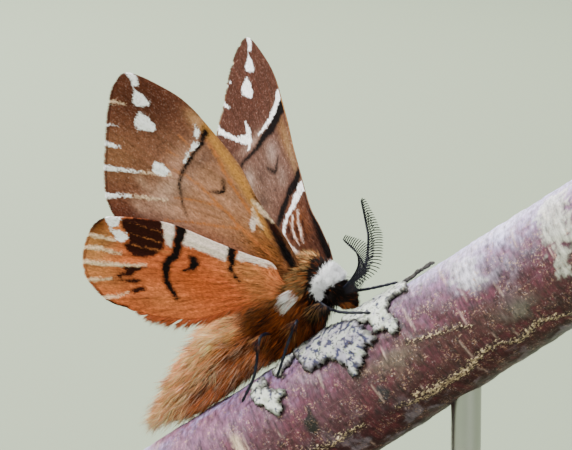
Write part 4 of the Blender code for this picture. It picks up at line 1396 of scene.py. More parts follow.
@dataclass
class Wings:
    """The four wings: thin sheets of scales, with fringes and hair."""

    columns: int = 84
    rows: int = 150
    thickness_mm: float = 0.14
    margin_share: float = 0.984
    fan_streaks: float = 14.0
    seed: int = 11
    edge_scales: int = 2200
    hind_hairs: int = 1800
    outer_base_hairs: int = 2600
    inner_base_hairs: int = 1500
    hind_tufts: int = 60
    map_start: tuple = (-2.0, -4.0)
    map_size: tuple = (32.0, 17.0)
    plans: dict = field(default_factory=lambda: {"forewing": FOREWING, "hindwing": HINDWING})

    def build(self, spikes: Spikes) -> None:
        """Builds each wing's sheet and its hair.

        Args:
            spikes: Maker of the hairs.
        """
        for name, left in self.plans.items():
            title = name + " {}side scales"
            finishes = [WingFinish(title.format(face), face, left.dust, left.streaks) for face in FACES]
            materials = [finish.material() for finish in finishes]
            for side_name, plan in (("left", left), ("right", replace(left, side=-1.0))):
                node = f"{name}_{side_name}"
                place_piece(self.sheet(node, plan, materials), (node,))
                place_piece(self.fringe(node, plan, spikes))

    def sheet(self, node: str, plan: WingPlan, materials: list) -> Object:
        """Builds one wing's closed sheet, with its markings as attributes.

        Args:
            node: The wing's CAD node.
            plan: The wing's plan.
            materials: Materials of the underside and of the upperside.

        Returns:
            The object.
        """
        bm = bmesh.new()
        bmesh.ops.create_grid(bm, x_segments=self.columns, y_segments=self.rows, size=1.0)
        grid = spots_of(bm)
        across, out = (grid[:, 0] + 1) / 2, (grid[:, 1] + 1) / 2
        flat = plan.plan_at(across, out * self.margin_share)
        move_to(bm, plan.place(flat))
        obj = mesh_object(node + "_sheet", bm, materials)
        mesh = obj.data
        if mesh.polygons[len(mesh.polygons) // 2].normal.dot(Vector(plan.normal())) < 0:
            mesh.flip_normals()
        fan = np.arctan2(flat[:, 1] + 1.5, np.maximum(flat[:, 0] + 2.0, 0.5)) * self.fan_streaks
        set_attribute(mesh, "plan", np.column_stack([flat, fan]))
        for face, pattern in zip(FACES, (plan.under, plan.upper)):
            set_attribute(mesh, face + "_ground", pattern.ground_at(flat))
            for ink, values in pattern.fields(flat).items():
                set_attribute(mesh, f"{face}_{ink.value}", values)
        solid = obj.modifiers.new("Thickness", "SOLIDIFY")
        solid.thickness = self.thickness_mm * MM
        solid.offset = 0.0
        solid.material_offset = 1
        graph = bpy.context.evaluated_depsgraph_get()
        thick = bpy.data.meshes.new_from_object(obj.evaluated_get(graph))
        obj.modifiers.clear()
        obj.data = thick
        return obj

    def fringe(self, node: str, plan: WingPlan, spikes: Spikes) -> Object:
        """Builds the scales along the margins and the hair over the wing's base and hind edge, as one mesh.

        Args:
            node: The wing's CAD node.
            plan: The wing's plan.
            spikes: Maker of the hairs.

        Returns:
            The object.
        """
        draw = np.random.default_rng(self.seed)
        normal = plan.normal()
        groups = [
            self._edge_scales(plan, draw),
            self._hind_hair(plan, draw),
            self._base_hair(plan, draw, self.outer_base_hairs, 1.0),
            self._base_hair(plan, draw, self.inner_base_hairs, -1.0),
        ]
        paths, tints, radii = [], [], []
        for spots, ways, lengths, sign, tint in groups:
            root = plan.place(spots, sign * 0.03)
            ahead = plan.place(spots + ways * 0.2, sign * 0.03)
            way = unit(ahead - root) + normal * (sign * draw.uniform(0.02, 0.22, len(spots)))[:, None]
            way = unit(way + draw.normal(0.0, 0.06, way.shape))
            paths.append(bent_lines(root, way, unit(way - normal * (sign * 0.08)[:, None]), lengths[:, None]))
            tints.append(np.stack([tint * 0.8, tint * 1.1], axis=1))
            radii.append(draw.uniform(0.018, 0.034, len(spots)))
        spots = np.vstack([group[0] for group in groups])
        patches = (spots - np.array(self.map_start)) / np.array(self.map_size)
        radii = np.concatenate(radii)
        return spikes.build(node + "_hair", np.vstack(paths), radii, np.vstack(tints), patches)

    def _edge_scales(self, plan: WingPlan, draw: Generator) -> tuple:
        """Draws short scales standing out from the outer margin.

        Args:
            plan: The wing's plan.
            draw: Source of random numbers.

        Returns:
            Places and directions on the plan, lengths, faces of the sheet (1 outward or -1) and colours.
        """
        count = self.edge_scales
        across = draw.uniform(0.0, 1.0, count)
        spots = plan.plan_at(across, np.full(count, self.margin_share - 0.004))
        way = unit(plan.plan_at(across, np.full(count, 1.0)) - spots)
        lengths = draw.uniform(0.3, 0.55, count)
        tint = plan.under.colour_at(spots + way * 0.2) * draw.uniform(0.75, 1.3, (count, 1))
        return spots, way, lengths, draw.choice([-1.0, 1.0], count), tint

    def _hind_hair(self, plan: WingPlan, draw: Generator) -> tuple:
        """Draws hair that hangs in clumps from the hind edge towards the margin, long near the body.

        Args:
            plan: The wing's plan.
            draw: Source of random numbers.

        Returns:
            The same as for the edge's scales.
        """
        count = self.hind_hairs
        share = draw.uniform(0.05, 0.98, count)
        spots, ahead = curve(plan.inner, share), curve(plan.inner, share + 0.01)
        clumps = draw.normal(0.0, 0.25, self.hind_tufts)[(share * (self.hind_tufts - 1)).astype(int)]
        fall = np.column_stack([0.1 - clumps, 0.8 + clumps]) * draw.uniform(0.8, 1.2, (count, 1))
        way = unit(ahead - spots) * 0.8 + fall
        lengths = (0.3 + plan.hind_hair * smooth(1.0 - share, 0.02, 0.3)) * draw.uniform(0.6, 1.1, count)
        tint = plan.under.colour_at(spots + [0.0, -0.4]) * draw.uniform(0.5, 1.3, (count, 1))
        return spots, unit(way), lengths, draw.choice([-1.0, 1.0], count), tint

    def _base_hair(self, plan: WingPlan, draw: Generator, count: int, sign: float) -> tuple:
        """Draws hair that lies over the part of one face next to the body, shorter further out.

        Args:
            plan: The wing's plan.
            draw: Source of random numbers.
            count: Number of hairs.
            sign: 1 for the outward face, -1 for the other.

        Returns:
            The same as for the edge's scales.
        """
        out = draw.beta(1.0, 2.6, count) * 0.5
        across = draw.uniform(0.03, 0.97, count)
        spots = plan.plan_at(across, out)
        way = unit(plan.plan_at(across, out + 0.03) - spots)
        longest = np.interp(out, [0.0, 0.15, 0.5], [plan.base_hair, 1.3, 0.6])
        lengths = draw.uniform(0.5, 1.0, count) * longest
        pattern = plan.under if sign > 0 else plan.upper
        shades = draw.choice([0.35, 0.8, 1.2, 1.7], (count, 1))
        tint = pattern.colour_at(spots + way * lengths[:, None] * 0.4) * shades
        if plan.glow:
            share = draw.uniform(0.0, 0.8, count) * smooth(4.5 - spots[:, 0], 0.0, 3.0)
            tint = blend(tint, rgb(plan.glow), share)
        return spots, way, lengths, np.full(count, sign), tint


def tube(name: str, path: Array, radii: Array, material: Material, sides: int = 14) -> Object:
    """Shapes a closed round tube along a path from a cylinder.

    Args:
        name: Name of the object.
        path: Middle of the tube at each ring, in millimetres.
        radii: Radius of each ring.
        material: Material of the tube.
        sides: Sides of the tube.

    Returns:
        The object.
    """
    bm = cylinder(sides, len(path) - 2)
    ahead = unit(np.gradient(path, axis=0))
    side = unit(np.cross(ahead, np.array([0.3, 1.0, 0.2])))
    other = np.cross(ahead, side)
    for vert in bm.verts:
        ring = round((vert.co.z + 0.5) * (len(path) - 1))
        vert.co = path[ring] + (side[ring] * vert.co.x + other[ring] * vert.co.y) * radii[ring]
    return mesh_object(name, bm, [material])


@dataclass(frozen=True)
class Feeler:
    """One comb antenna: a shaft with two rows of fine branches, the rami."""

    node: str
    points: tuple
    colour: str = "#101016"
    shaft_rings: int = 60
    base_radius: float = 0.14
    tip_radius: float = 0.065
    rami: int = 35
    reach: float = 1.8
    spread: float = math.radians(48.0)
    start: float = 0.13
    ramus_radius: float = 0.058

    def build(self, chitin: Material, spikes: Spikes) -> None:
        """Builds the shaft and the comb.

        Args:
            chitin: Material of the shaft.
            spikes: Maker of the rami.
        """
        shares = np.linspace(0.0, 1.0, self.shaft_rings)
        radii = self.base_radius + (self.tip_radius - self.base_radius) * shares
        shaft = tube(self.node + "_shaft", curve(self.points, shares), radii, chitin)
        place_piece(shaft, (self.node,))
        share = np.repeat(np.linspace(self.start, 0.995, self.rami), 2)
        lean = np.tile([1.0, -1.0], self.rami) * self.spread
        root = curve(self.points, share)
        ahead = unit(curve(self.points, np.minimum(share + 0.01, 1.0)) - curve(self.points, share - 0.01))
        front = unit(np.array([1.0, 0.0, 0.0]) - ahead * ahead[:, :1])
        out = front * np.cos(lean)[:, None] + np.cross(ahead, front) * np.sin(lean)[:, None]
        place = (share - self.start) / (1 - self.start)
        reach = self.reach * np.interp(place, [0.0, 0.25, 0.6, 1.0], [0.45, 1.0, 1.0, 0.3])
        steps = np.linspace(0.0, 1.0, spikes.cuts + 2)[None, :, None]
        bend = 0.62 * steps - 0.36 * steps**2
        paths = root[:, None] + reach[:, None, None] * (out[:, None] * steps + ahead[:, None] * bend)
        tint = np.tile(rgb(self.colour), (len(share), 1))
        tints = np.stack([tint, tint * 1.5], axis=1)
        patches = np.stack([share, 0.5 + lean * 0.3], axis=-1)
        radii = np.full(len(share), self.ramus_radius)
        place_piece(spikes.build(self.node + "_comb", paths, radii, tints, patches))


@dataclass(frozen=True)
class Leg:
    """One leg: a thick hairy part near the body, then a thin shank and a foot of five joints.

    Radii and lengths of the hairs are pairs of a share of the leg's length and the measure there.
    """

    node: str
    points: tuple
    dark_share: float = 0.5
    radii: tuple = ((0.0, 0.2), (0.3, 0.17), (0.42, 0.12), (0.58, 0.12), (0.97, 0.11), (1.0, 0.05))
    lengths: tuple = ((0.0, 2.2), (0.3, 1.6), (0.42, 0.22), (1.0, 0.12))
    lie: tuple = (-0.6, 0.0, -0.8)
    rings: int = 90
    hairs: int = 1500
    foot_start: float = 0.55
    foot_joints: int = 5
    joint_height: float = 0.045
    rust: str = "#8E461C"
    tan: str = "#B98552"
    dark: str = "#1A100C"
    foot: str = "#15151D"

    def build(self, chitin: Material, spikes: Spikes) -> None:
        """Builds the leg and its short hair.

        Args:
            chitin: Material of the leg.
            spikes: Maker of the hairs.
        """
        shares = np.linspace(0.0, 1.0, self.rings)
        waves = np.sin((shares - self.foot_start) / (1 - self.foot_start) * math.pi * self.foot_joints)
        joints = self.joint_height * np.abs(waves) * (shares > self.foot_start)
        radii = np.interp(shares, *np.transpose(self.radii))
        shell = tube(self.node + "_shell", curve(self.points, shares), radii + joints, chitin)
        place_piece(shell, (self.node,))
        draw = np.random.default_rng(len(self.node))
        count = self.hairs
        share = draw.beta(1.0, 2.2, count) * 0.95
        root = curve(self.points, share)
        ahead = unit(curve(self.points, np.minimum(share + 0.02, 1.0)) - curve(self.points, share - 0.02))
        out = unit(np.cross(ahead, draw.normal(0.0, 1.0, (count, 3))))
        length = np.interp(share, *np.transpose(self.lengths)) * draw.uniform(0.6, 1.2, count)
        near = smooth(0.44 - share, 0.0, 0.12)[:, None]
        way = unit(ahead * (1 - near) + np.array(self.lie) * near + out * 0.45)
        start = root + out * np.interp(share, shares, radii)[:, None] * 0.8
        paths = bent_lines(start, way, unit(way + ahead * 0.5), length[:, None])
        lot = draw.uniform(0.0, 1.0, (count, 1))
        thigh = np.where(lot < 0.85, rgb(self.rust), rgb(self.tan))
        thigh = np.where(lot < self.dark_share, rgb(self.dark), thigh)
        tint = blend(thigh, rgb(self.foot), smooth(share, 0.2, 0.45)) * draw.uniform(0.7, 1.5, (count, 1))
        patches = np.stack([share, draw.uniform(0.0, 1.0, count)], axis=-1)
        thickness, tints = draw.uniform(0.015, 0.03, count), np.stack([tint, tint * 1.3], axis=1)
        place_piece(spikes.build(self.node + "_hair", paths, thickness, tints, patches))


FEELERS = (
    Feeler(
        "antenna_right",
        (
            (-4.4, -0.45, 37.7), (-3.95, -0.95, 38), (-2.57, -2, 39.2), (-1.25, -3.2, 41),
            (-0.97, -4.5, 42.65), (-1.8, -5.9, 44.1)
        ),
    ),
    Feeler(
        "antenna_left",
        (
            (-4.4, 0.45, 37.7), (-3.95, 0.95, 38.05), (-3.13, 1.6, 39.1), (-2.48, 2.2, 40.4),
            (-2.56, 3, 42.6), (-3.07, 3.7, 44), (-3.86, 4.4, 46.2)
        ),
    ),
)
LEGS = (
    Leg(
        "foreleg_right",
        ((-6.6, -1.2, 36.2), (-5.3, -3, 36.9), (-3.9, -3.5, 36.5), (-2.4, -4.1, 36.45), (0.4, -3.95, 36.6)),
        dark_share=0.85,
    ),
    Leg(
        "midleg_right",
        ((-8.6, -1.4, 34), (-7.5, -3.9, 35.1), (-8.1, -4.5, 33.2), (-8.75, -4.6, 31.1), (-9.3, -4.6, 29.5)),
    ),
    Leg(
        "hindleg_right",
        (
            (-10.6, -1.6, 33.2), (-11.2, -4.3, 33.3), (-11.45, -4.8, 30.6), (-11.8, -4.9, 29),
            (-13, -4.85, 26.6)
        ),
    ),
    Leg(
        "foreleg_left",
        ((-6.6, 1.2, 36.2), (-5, 2.6, 37.1), (-3, 2.3, 37.5), (-0.9, 1.7, 38.1), (1.2, 1.5, 38.75)),
        dark_share=0.85,
    ),
    Leg(
        "midleg_left",
        ((-8.6, 1.4, 34), (-7.3, 3.9, 35), (-7.8, 4.6, 33.2), (-8.4, 4.75, 31.3), (-8.9, 4.7, 29.75)),
    ),
    Leg(
        "hindleg_left",
        ((-10.6, 1.6, 33.2), (-11.5, 4.3, 33.2), (-12, 4.9, 30.4), (-12.6, 4.95, 28.4), (-13.9, 4.9, 26)),
    ),
)
COATS = (
    Coat("abdomen_coat_a", "rust_coat", 0.0, 0.54, 18500, 2.4, 15.0, seed=1, nodes=("abdomen",)),
    Coat("abdomen_coat_b", "rust_coat", 0.0, 0.54, 15500, 2.8, 17.0, radius=0.024, seed=2),
    # The abdomen's upper fringe: its pale tint is partly the hair's own colour and partly painted backlight
    # along the upper edge
    Coat(
        "abdomen_fringe", "rust_coat", 0.0, 0.4, 4200, 2.7, 24.0, low=-0.15, high=1.15, clump=0.24,
        tint="#FFAA7E", mottle=0.12, seed=13
    ),
    Coat(
        "thorax_coat_a", "rust_coat", 0.5, 0.83, 18500, 2.2, 24.0, slant=COLLAR_SLANT, seed=3,
        nodes=("thorax",)
    ),
    Coat("thorax_coat_b", "rust_coat", 0.5, 0.78, 8000, 2.8, 28.0, radius=0.024, seed=4),
    Coat(
        "chest_coat", "rust_coat", 0.5, 0.72, 4500, 2.5, 50.0, low=-0.8, high=-0.2, fall=0.4, mottle=0.6,
        seed=12
    ),
    Coat(
        "shoulder_tufts", "rust_coat", 0.775, 0.835, 5000, 1.5, 48.0, low=-0.05, high=0.47, mirrored=True,
        slant=COLLAR_SLANT, tint="#B08A5A", mottle=0.6, low_shade=0.6, seed=7
    ),
    Coat(
        "dark_band", "dark_coat", 0.828, 0.866, 4500, 1.0, 40.0, slant=COLLAR_SLANT, tint="#150F0C",
        mottle=0.1, seed=8
    ),
    Coat(
        "collar_coat", "white_coat", 0.862, 0.912, 11000, 1.05, 74.0, low=-0.25, high=1.25, curl=0.15,
        clump=0.17, slant=COLLAR_SLANT, tint="#FFFDFA", mottle=0.0, translucent=True, seed=5,
        nodes=("collar",)
    ),
    Coat(
        "side_tufts", "white_coat", 0.725, 0.772, 3200, 1.75, 60.0, radius=0.034, clump=0.1, low=-0.03,
        high=0.08, mirrored=True, fall=0.45, tint="#FBEEE4", mottle=0.0, translucent=True, seed=9
    ),
    Coat(
        "head_coat", "dark_coat", 0.905, 0.995, 8000, 0.95, 30.0, curl=0.3, seed=6, forward=True,
        tint="#1C1310", mottle=0.06, nodes=("head",)
    ),
    Coat(
        "brow_tufts", "dark_coat", 0.9, 0.93, 2400, 1.55, 50.0, low=-0.16, high=0.22, mirrored=True,
        forward=True, tint="#120C0A", mottle=0.05, seed=11
    ),
    Coat(
        "face_tufts", "dark_coat", 0.935, 0.99, 3000, 1.05, 38.0, low=-1.0, high=0.0, fall=0.55, forward=True,
        tint="#A8683A", mottle=0.85, seed=10
    ),
)


@dataclass
class Moth:
    """The whole moth."""

    skin: Skin = field(default_factory=Skin)
    colours: CoatColours = field(default_factory=CoatColours)
    wings: Wings = field(default_factory=Wings)
    eye_place: tuple = (-4.25, 0.9, 36.95)
    eye_radius: float = 0.5

    def build(self) -> None:
        """Builds skin, coat, wings, feelers, legs and eyes."""
        hairs = Spikes(HairFinish("moth hair").material())
        pale_hairs = Spikes(HairFinish("pale hair", scatter=0.6).material())
        rami = Spikes(HairFinish("comb branches", 0.45).material(), sides=4, cuts=7, taper=0.1)
        chitin = ChitinFinish("dark chitin", "#0B0B10", "#1D2138", 0.42).material()
        skin = self.skin.build(self.colours, HairFinish("skin under hair", 0.8).material())
        place_piece(skin)
        for coat in COATS:
            coat.build(self.skin, self.colours, pale_hairs if coat.translucent else hairs)
        self.wings.build(hairs)
        for feeler in FEELERS:
            feeler.build(chitin, rami)
        for leg in LEGS:
            leg.build(chitin, hairs)
        self.eyes()

    def eyes(self) -> None:
        """Builds the two eyes: glossy dark domes."""
        cornea = ChitinFinish("eye cornea", "#0B090B", "#17131A", 0.18, 14.0, 0.5).material()
        x, y, z = self.eye_place
        for side_name, side in (("left", 1.0), ("right", -1.0)):
            bm = bmesh.new()
            bmesh.ops.create_icosphere(bm, subdivisions=4, radius=self.eye_radius)
            bmesh.ops.translate(bm, vec=(x, y * side, z), verts=bm.verts)
            obj = mesh_object(f"eye_{side_name}_dome", bm, [cornea])
            place_piece(obj, (f"eye_{side_name}",))


@dataclass(frozen=True)
class Plate:
    """A lobed plate of lichen on the bark: its outline as (along the twig, round it), sizes and colours."""

    name: str
    outline: tuple
    thickness: float = 0.16
    curl: float = 0.0
    colour: str = "#D3D6CB"
    blue: float = 0.0
    # Strength of the painted shadow line that darkens the plate's raised edge
    rim: float = 0.75
    cell: float = 0.14
    lobes: float = 1.0
    lobe_reach: float = 1.2

    def field(self, plan: Array) -> Array:
        """How far places are inside the plate's lobed edge.

        Args:
            plan: Places as (along the twig, round it).

        Returns:
            Distances to the edge, above zero inside.
        """
        distance = patch(*self.outline).field(plan)
        near = np.abs(distance) < self.lobe_reach
        lobes = np.zeros(len(plan))
        lobes[near] = [
            0.26 * noise.noise(Vector((*p, 1.0)) * 1.5) + 0.16 * noise.noise(Vector((*p, 2.0)) * 3.4)
            for p in plan[near]
        ]
        return distance + lobes * self.lobes


# Places on the unrolled bark are millimetres along the twig from its low end, and round it from its left side
# Bark colours by millimetres round the twig: its own mauve and maroon, with a pale lilac painted sheen on top
# (arc 9.9) and painted shade darkest underneath (arc 29.7)
BARK_TONES_SHEEN_AND_SHADE = (
    (0, "#6E4652"), (6, "#8D7796"), (9.5, "#B4B0E4"), (12, "#8C79A4"), (14, "#745472"), (16.5, "#522E40"),
    (19, "#3A1B24"), (21.5, "#3C171E"), (24.5, "#321114"), (26.5, "#28100E"), (31, "#220D0B"),
    (36, "#4C2B34"), (39.6, "#6E4652")
)
# Soft patches on the bark; the two pale lilac ones, at (44.5, 15.5) and (50.5, 12), are painted sheen on the
# waxy bark
BARK_WASHES = (
    Wash((8, 15), (14, 7), "#80566E", 0.7), Wash((31, 19.5), (9, 3), "#4C252D", 0.7),
    Wash((16, 20), (10, 2.5), "#4E2A34", 0.7), Wash((42, 21.5), (4.5, 5), "#42131A", 0.7),
    Wash((51, 20.4), (2.6, 2), "#461318", 0.7), Wash((44.5, 15.5), (1.6, 2.2), "#B9AEC8", 0.7),
    Wash((44.4, 19.8), (2.2, 1.5), "#452022", 0.85), Wash((37, 21.5), (5, 3), "#432121", 0.6),
    Wash((48, 22.3), (3, 1.6), "#564D45", 0.5), Wash((30.6, 21.4), (1.3, 1.5), "#26222A", 1.3),
    Wash((22.7, 19.7), (0.6, 1.4), "#120B0A", 2), Wash((14.6, 18.6), (0.5, 1.2), "#BFA58C", 1.5),
    Wash((33.5, 19.6), (3, 1.5), "#5C4C42", 0.6), Wash((50.5, 12), (6, 3.5), "#BDB4D8", 0.7),
)
CRACKS = (
    stroke((0.2, 0.5, 0.5, 0.1), (51.4, 25.5), (49.8, 24.7), (48.2, 24.1), (45.6, 24.7), (43.7, 23.6)),
    stroke(
        (0.3, 0.8, 0.5), (43.7, 23.6), (41.7, 23.6), (39.6, 24.2), (38.1, 24.3), (35.6, 24.2), (33.6, 23.5)
    ),
    stroke((0.1, 0.5, 0.1), (39, 24.8), (37, 24.4), (34.8, 24.6), (32.9, 24), (31.2, 23.6)),
    stroke((0.1, 0.5, 0.2), (27.2, 23.3), (25.7, 23.1), (24.1, 23.1), (22.9, 23.2), (21.3, 22.4)),
    stroke((-0.1, 0.15, 0.15, -0.1), (42.9, 20.6), (41.2, 19.8), (38.8, 19.3), (36.2, 18.5)),
    stroke((0, 0.4, 0), (8, 23), (12, 24.2), (17, 23.4)),
    stroke((0, 0.4, 0.3, 0), (2, 33), (20, 34.5), (38, 33), (55, 35)),
)
PORES = (
    ((41.4, 12), (42.4, 15.7)),
    ((37, 15.1), (37.5, 18)),
    ((40.9, 21.3), (40.8, 23.5)),
    ((50.5, 13.5), (50.7, 16.2)),
    ((54.2, 13.7), (54.7, 15.5)),
    ((26, 16.4), (25.9, 18)),
)
PLATES = (
    Plate(
        "lichen_upper",
        (
            (29.2, 10.1), (31, 9.5), (33.7, 9.5), (35.9, 9.8), (37.7, 12.4), (37.7, 13.1), (35.9, 13),
            (35.2, 14.1), (35.8, 15.9), (36.3, 16.7), (35.7, 17.1), (34.7, 16.2), (33.7, 16.1), (33.3, 14.4),
            (31.5, 13.4), (29.7, 11.7)
        ),
    ),
    Plate(
        "lichen_middle",
        (
            (23, 10.5), (24.7, 10.1), (27.9, 11.1), (31.5, 13.4), (33.4, 16.9), (31.9, 16.7), (31.1, 17.9),
            (29.9, 18.7), (29.7, 17.8), (28.9, 16.6), (28.1, 15.7), (26.6, 15.7), (25.3, 15.7), (24.5, 13.7)
        ),
        thickness=0.2, colour="#B4B4B1", blue=0.26,
    ),
    Plate(
        "lichen_ridge",
        ((32.6, 8.9), (36, 9.15), (38.8, 9.6), (40.4, 9.85), (38.6, 10.1), (36, 10.1), (33, 10)),
        thickness=0.2, curl=0.22, colour="#DADBD0", rim=0.95, cell=0.09, lobes=0.35,
    ),
    Plate(
        "lichen_lower",
        (
            (18.3, 12.9), (19.4, 13.1), (19.9, 14.1), (18.9, 14.5), (20.4, 15.2), (21.7, 15.9), (21.6, 16.5),
            (20.8, 16.7), (21, 17.5), (20.5, 17.8), (20, 17.3), (19.1, 16), (18.4, 15.6), (18.1, 14.3)
        ),
    ),
    Plate(
        "lichen_foot",
        ((21, 13), (21.6, 12), (22.8, 11.4), (23.2, 11.4), (23.1, 13), (22, 13.2), (21.8, 14.2)),
    ),
)
# Pale patches on the bark and their strengths: the first is a crust of lichen; the second, weaker one lies on
# the sheen band and is painted sheen in the crust's pale colour
CRUSTS_AND_SHEEN = (
    (patch((54.1, 11.1), (57.8, 12.1), (56.5, 18), (54.2, 21.7), (53, 21), (53.2, 18.9), (53.7, 13.3)), 0.6),
    (patch((43, 13.5), (46, 14.5), (45.5, 17.5), (43.5, 17)), 0.3),
)


@dataclass(frozen=True)
class Twig:
    """The birch twig: smooth young bark with lenticels, a peeling seam, lichen and sawn ends."""

    high_end: tuple = (24.3, 0.0, 46.3)
    low_end: tuple = (-24.1, 0.0, 12.9)
    high_radius: float = 6.05
    low_radius: float = 6.5
    rings: int = 330
    sides: int = 240
    seed: int = 21
    spare_pores: int = 70
    broad_height: float = 0.1
    fine_height: float = 0.02
    pore_height: float = 0.06
    crack_height: float = 0.14
    sawn_rounding: float = 0.25
    lichen_root: float = 0.25
    lichen_margin: float = 0.6
    lichen_ruffle: float = 0.07

    def frame(self) -> tuple[Array, Array, Array, float]:
        """How the twig lies.

        Returns:
            Direction along the twig, its left, its top and its length.
        """
        run = np.array(self.high_end) - np.array(self.low_end)
        length = float(np.linalg.norm(run))
        ahead = run / length
        return ahead, LEFT, np.cross(ahead, LEFT), length

    def place(self, along: Array, angle: Array, off: Array | float = 0.0) -> Array:
        """Places on the bark.

        Args:
            along: Millimetres from the low end.
            angle: Angles round the twig, 0 on the left and a quarter turn on top.
            off: How far the places stand off the bark.

        Returns:
            One place in the row frame for each.
        """
        ahead, left, top, length = self.frame()
        radius = self.low_radius + (self.high_radius - self.low_radius) * along / length + off
        ring = np.cos(angle)[:, None] * left + np.sin(angle)[:, None] * top
        return np.array(self.low_end) + along[:, None] * ahead + ring * radius[:, None]

    def build(self) -> None:
        """Builds the bark, the sawn ends and the lichen."""
        ahead, _, _, length = self.frame()
        bm = cylinder(self.sides, self.rings)
        co = spots_of(bm)
        along = (co[:, 2] + 0.5) * length
        angle = np.arctan2(co[:, 1], co[:, 0])
        relief, tint, crack = self.bark(along, angle)
        edge = np.minimum(along, length - along)
        relief = relief * smooth(edge, 0.0, 0.4) - self.sawn_rounding * (1 - smooth(edge, 0.0, 0.35))
        move_to(bm, self.place(along, angle, relief))
        wood = PlainFinish("sawn birch", "#CDB08A", 0.8, grain="#B08E66").material()
        obj = mesh_object("twig_bark", bm, [BarkFinish("birch bark", 0.5, 2.2, 0.42).material(), wood])
        for face in obj.data.polygons:
            if abs(face.normal.dot(Vector(ahead))) > 0.9 and face.loop_total > 4:
                face.material_index = 1
        self.dress(obj, angle * ARC_PER_RADIAN, along, tint, crack)
        place_piece(obj, ("perch_branch",))
        crust = BarkFinish("lichen crust", 0.85, 3.2, 0.1, 0.03, (0.8, 1.15)).material()
        for plate in PLATES:
            place_piece(self.lichen(plate, crust))

    def dress(self, obj: Object, arc: Array, along: Array, tint: Array, crack: Array) -> None:
        """Writes what the bark's and the lichen's finish reads.

        Args:
            obj: Object that gets the attributes.
            arc: Millimetres round the twig.
            along: Millimetres along the twig.
            tint: Colours.
            crack: Distances to the cracks, above zero inside.
        """
        set_attribute(obj.data, "plan", np.column_stack([arc, along, np.zeros(len(along))]))
        set_attribute(obj.data, "tint", tint)
        set_attribute(obj.data, "crack", crack)

    def bark(self, along: Array, angle: Array) -> tuple[Array, Array, Array]:
        """What the bark is like at places on it.

        Args:
            along: Millimetres from the low end.
            angle: Angles round the twig.

        Returns:
            Heights, colours and distances to the peeling cracks.
        """
        broad = self.broad(along, angle)
        fine = np.array([noise.noise(Vector(p * 2.2)) for p in self.place(along, angle)])
        arc = (angle % (2 * math.pi)) * ARC_PER_RADIAN
        plan = np.column_stack([along, arc])
        shifted = arc + 2.4 * broad + 1.2 * fine
        # Tones round the twig: the bark's own colours, with painted sheen on top and painted shade underneath
        arcs, tones = [a for a, _ in BARK_TONES_SHEEN_AND_SHADE], np.array([rgb(colour) for _, colour in BARK_TONES_SHEEN_AND_SHADE])
        tint = np.stack([np.interp(shifted, arcs, tone) for tone in tones.T], axis=-1)
        reds, greys = smooth(-broad, 0.12, 0.4) * 0.25, smooth(broad, 0.2, 0.5) * 0.3
        tint = layered(tint, (rgb("#74303A"), reds), (rgb("#A39BA8"), greys))
        # Bark patches, two of them painted sheen
        for wash in BARK_WASHES:
            share = wash.share(plan) * (1.0 + 2.2 * broad + 0.8 * fine)
            tint = blend(tint, rgb(wash.colour), share * wash.strength)
        relief = self.broad_height * broad + self.fine_height * fine
        # Painted shadow: the bark darkens in a band just outside each raised lichen plate
        for plate in PLATES:
            tint = blend(tint, rgb("#1E1815"), smooth(plate.field(plan), -0.4, -0.12) * 0.85)
        for mark in self.pores():
            share = smooth(mark.field(plan), -0.1, 0.06)
            relief += self.pore_height * share
            tint = blend(tint, rgb("#B59A8C"), share * 0.6)
        crack = np.full(len(plan), NO_MARK)
        for line in CRACKS:
            crack = np.maximum(crack, line.field(plan))
        # Pale lichen crust, and a weaker pale patch of painted sheen
        for crust, strength in CRUSTS_AND_SHEEN:
            share = smooth(crust.field(plan) + 1.2 * fine + broad, -0.3, 0.5)
            tint = blend(tint, rgb("#CBCDBB"), share * strength)
        relief += self.crack_height * smooth(crack + 0.6 * fine, -0.25, 0.2)
        return relief, tint, crack

    def pores(self) -> list[Mark]:
        """The short corky lines across the bark: those that the photo shows, and others all round.

        Returns:
            One marking for each line.
        """
        marks = [stroke((0.1, 0.22, 0.1), *line) for line in PORES]
        draw = np.random.default_rng(self.seed)
        for _ in range(self.spare_pores):
            along, arc, half = draw.uniform(0.5, 58.5), draw.uniform(-2.0, 41.0), draw.uniform(0.3, 1.1)
            tilt = draw.uniform(-0.15, 0.15)
            marks.append(stroke((0.04, 0.14, 0.04), (along - tilt, arc - half), (along + tilt, arc + half)))
        return marks

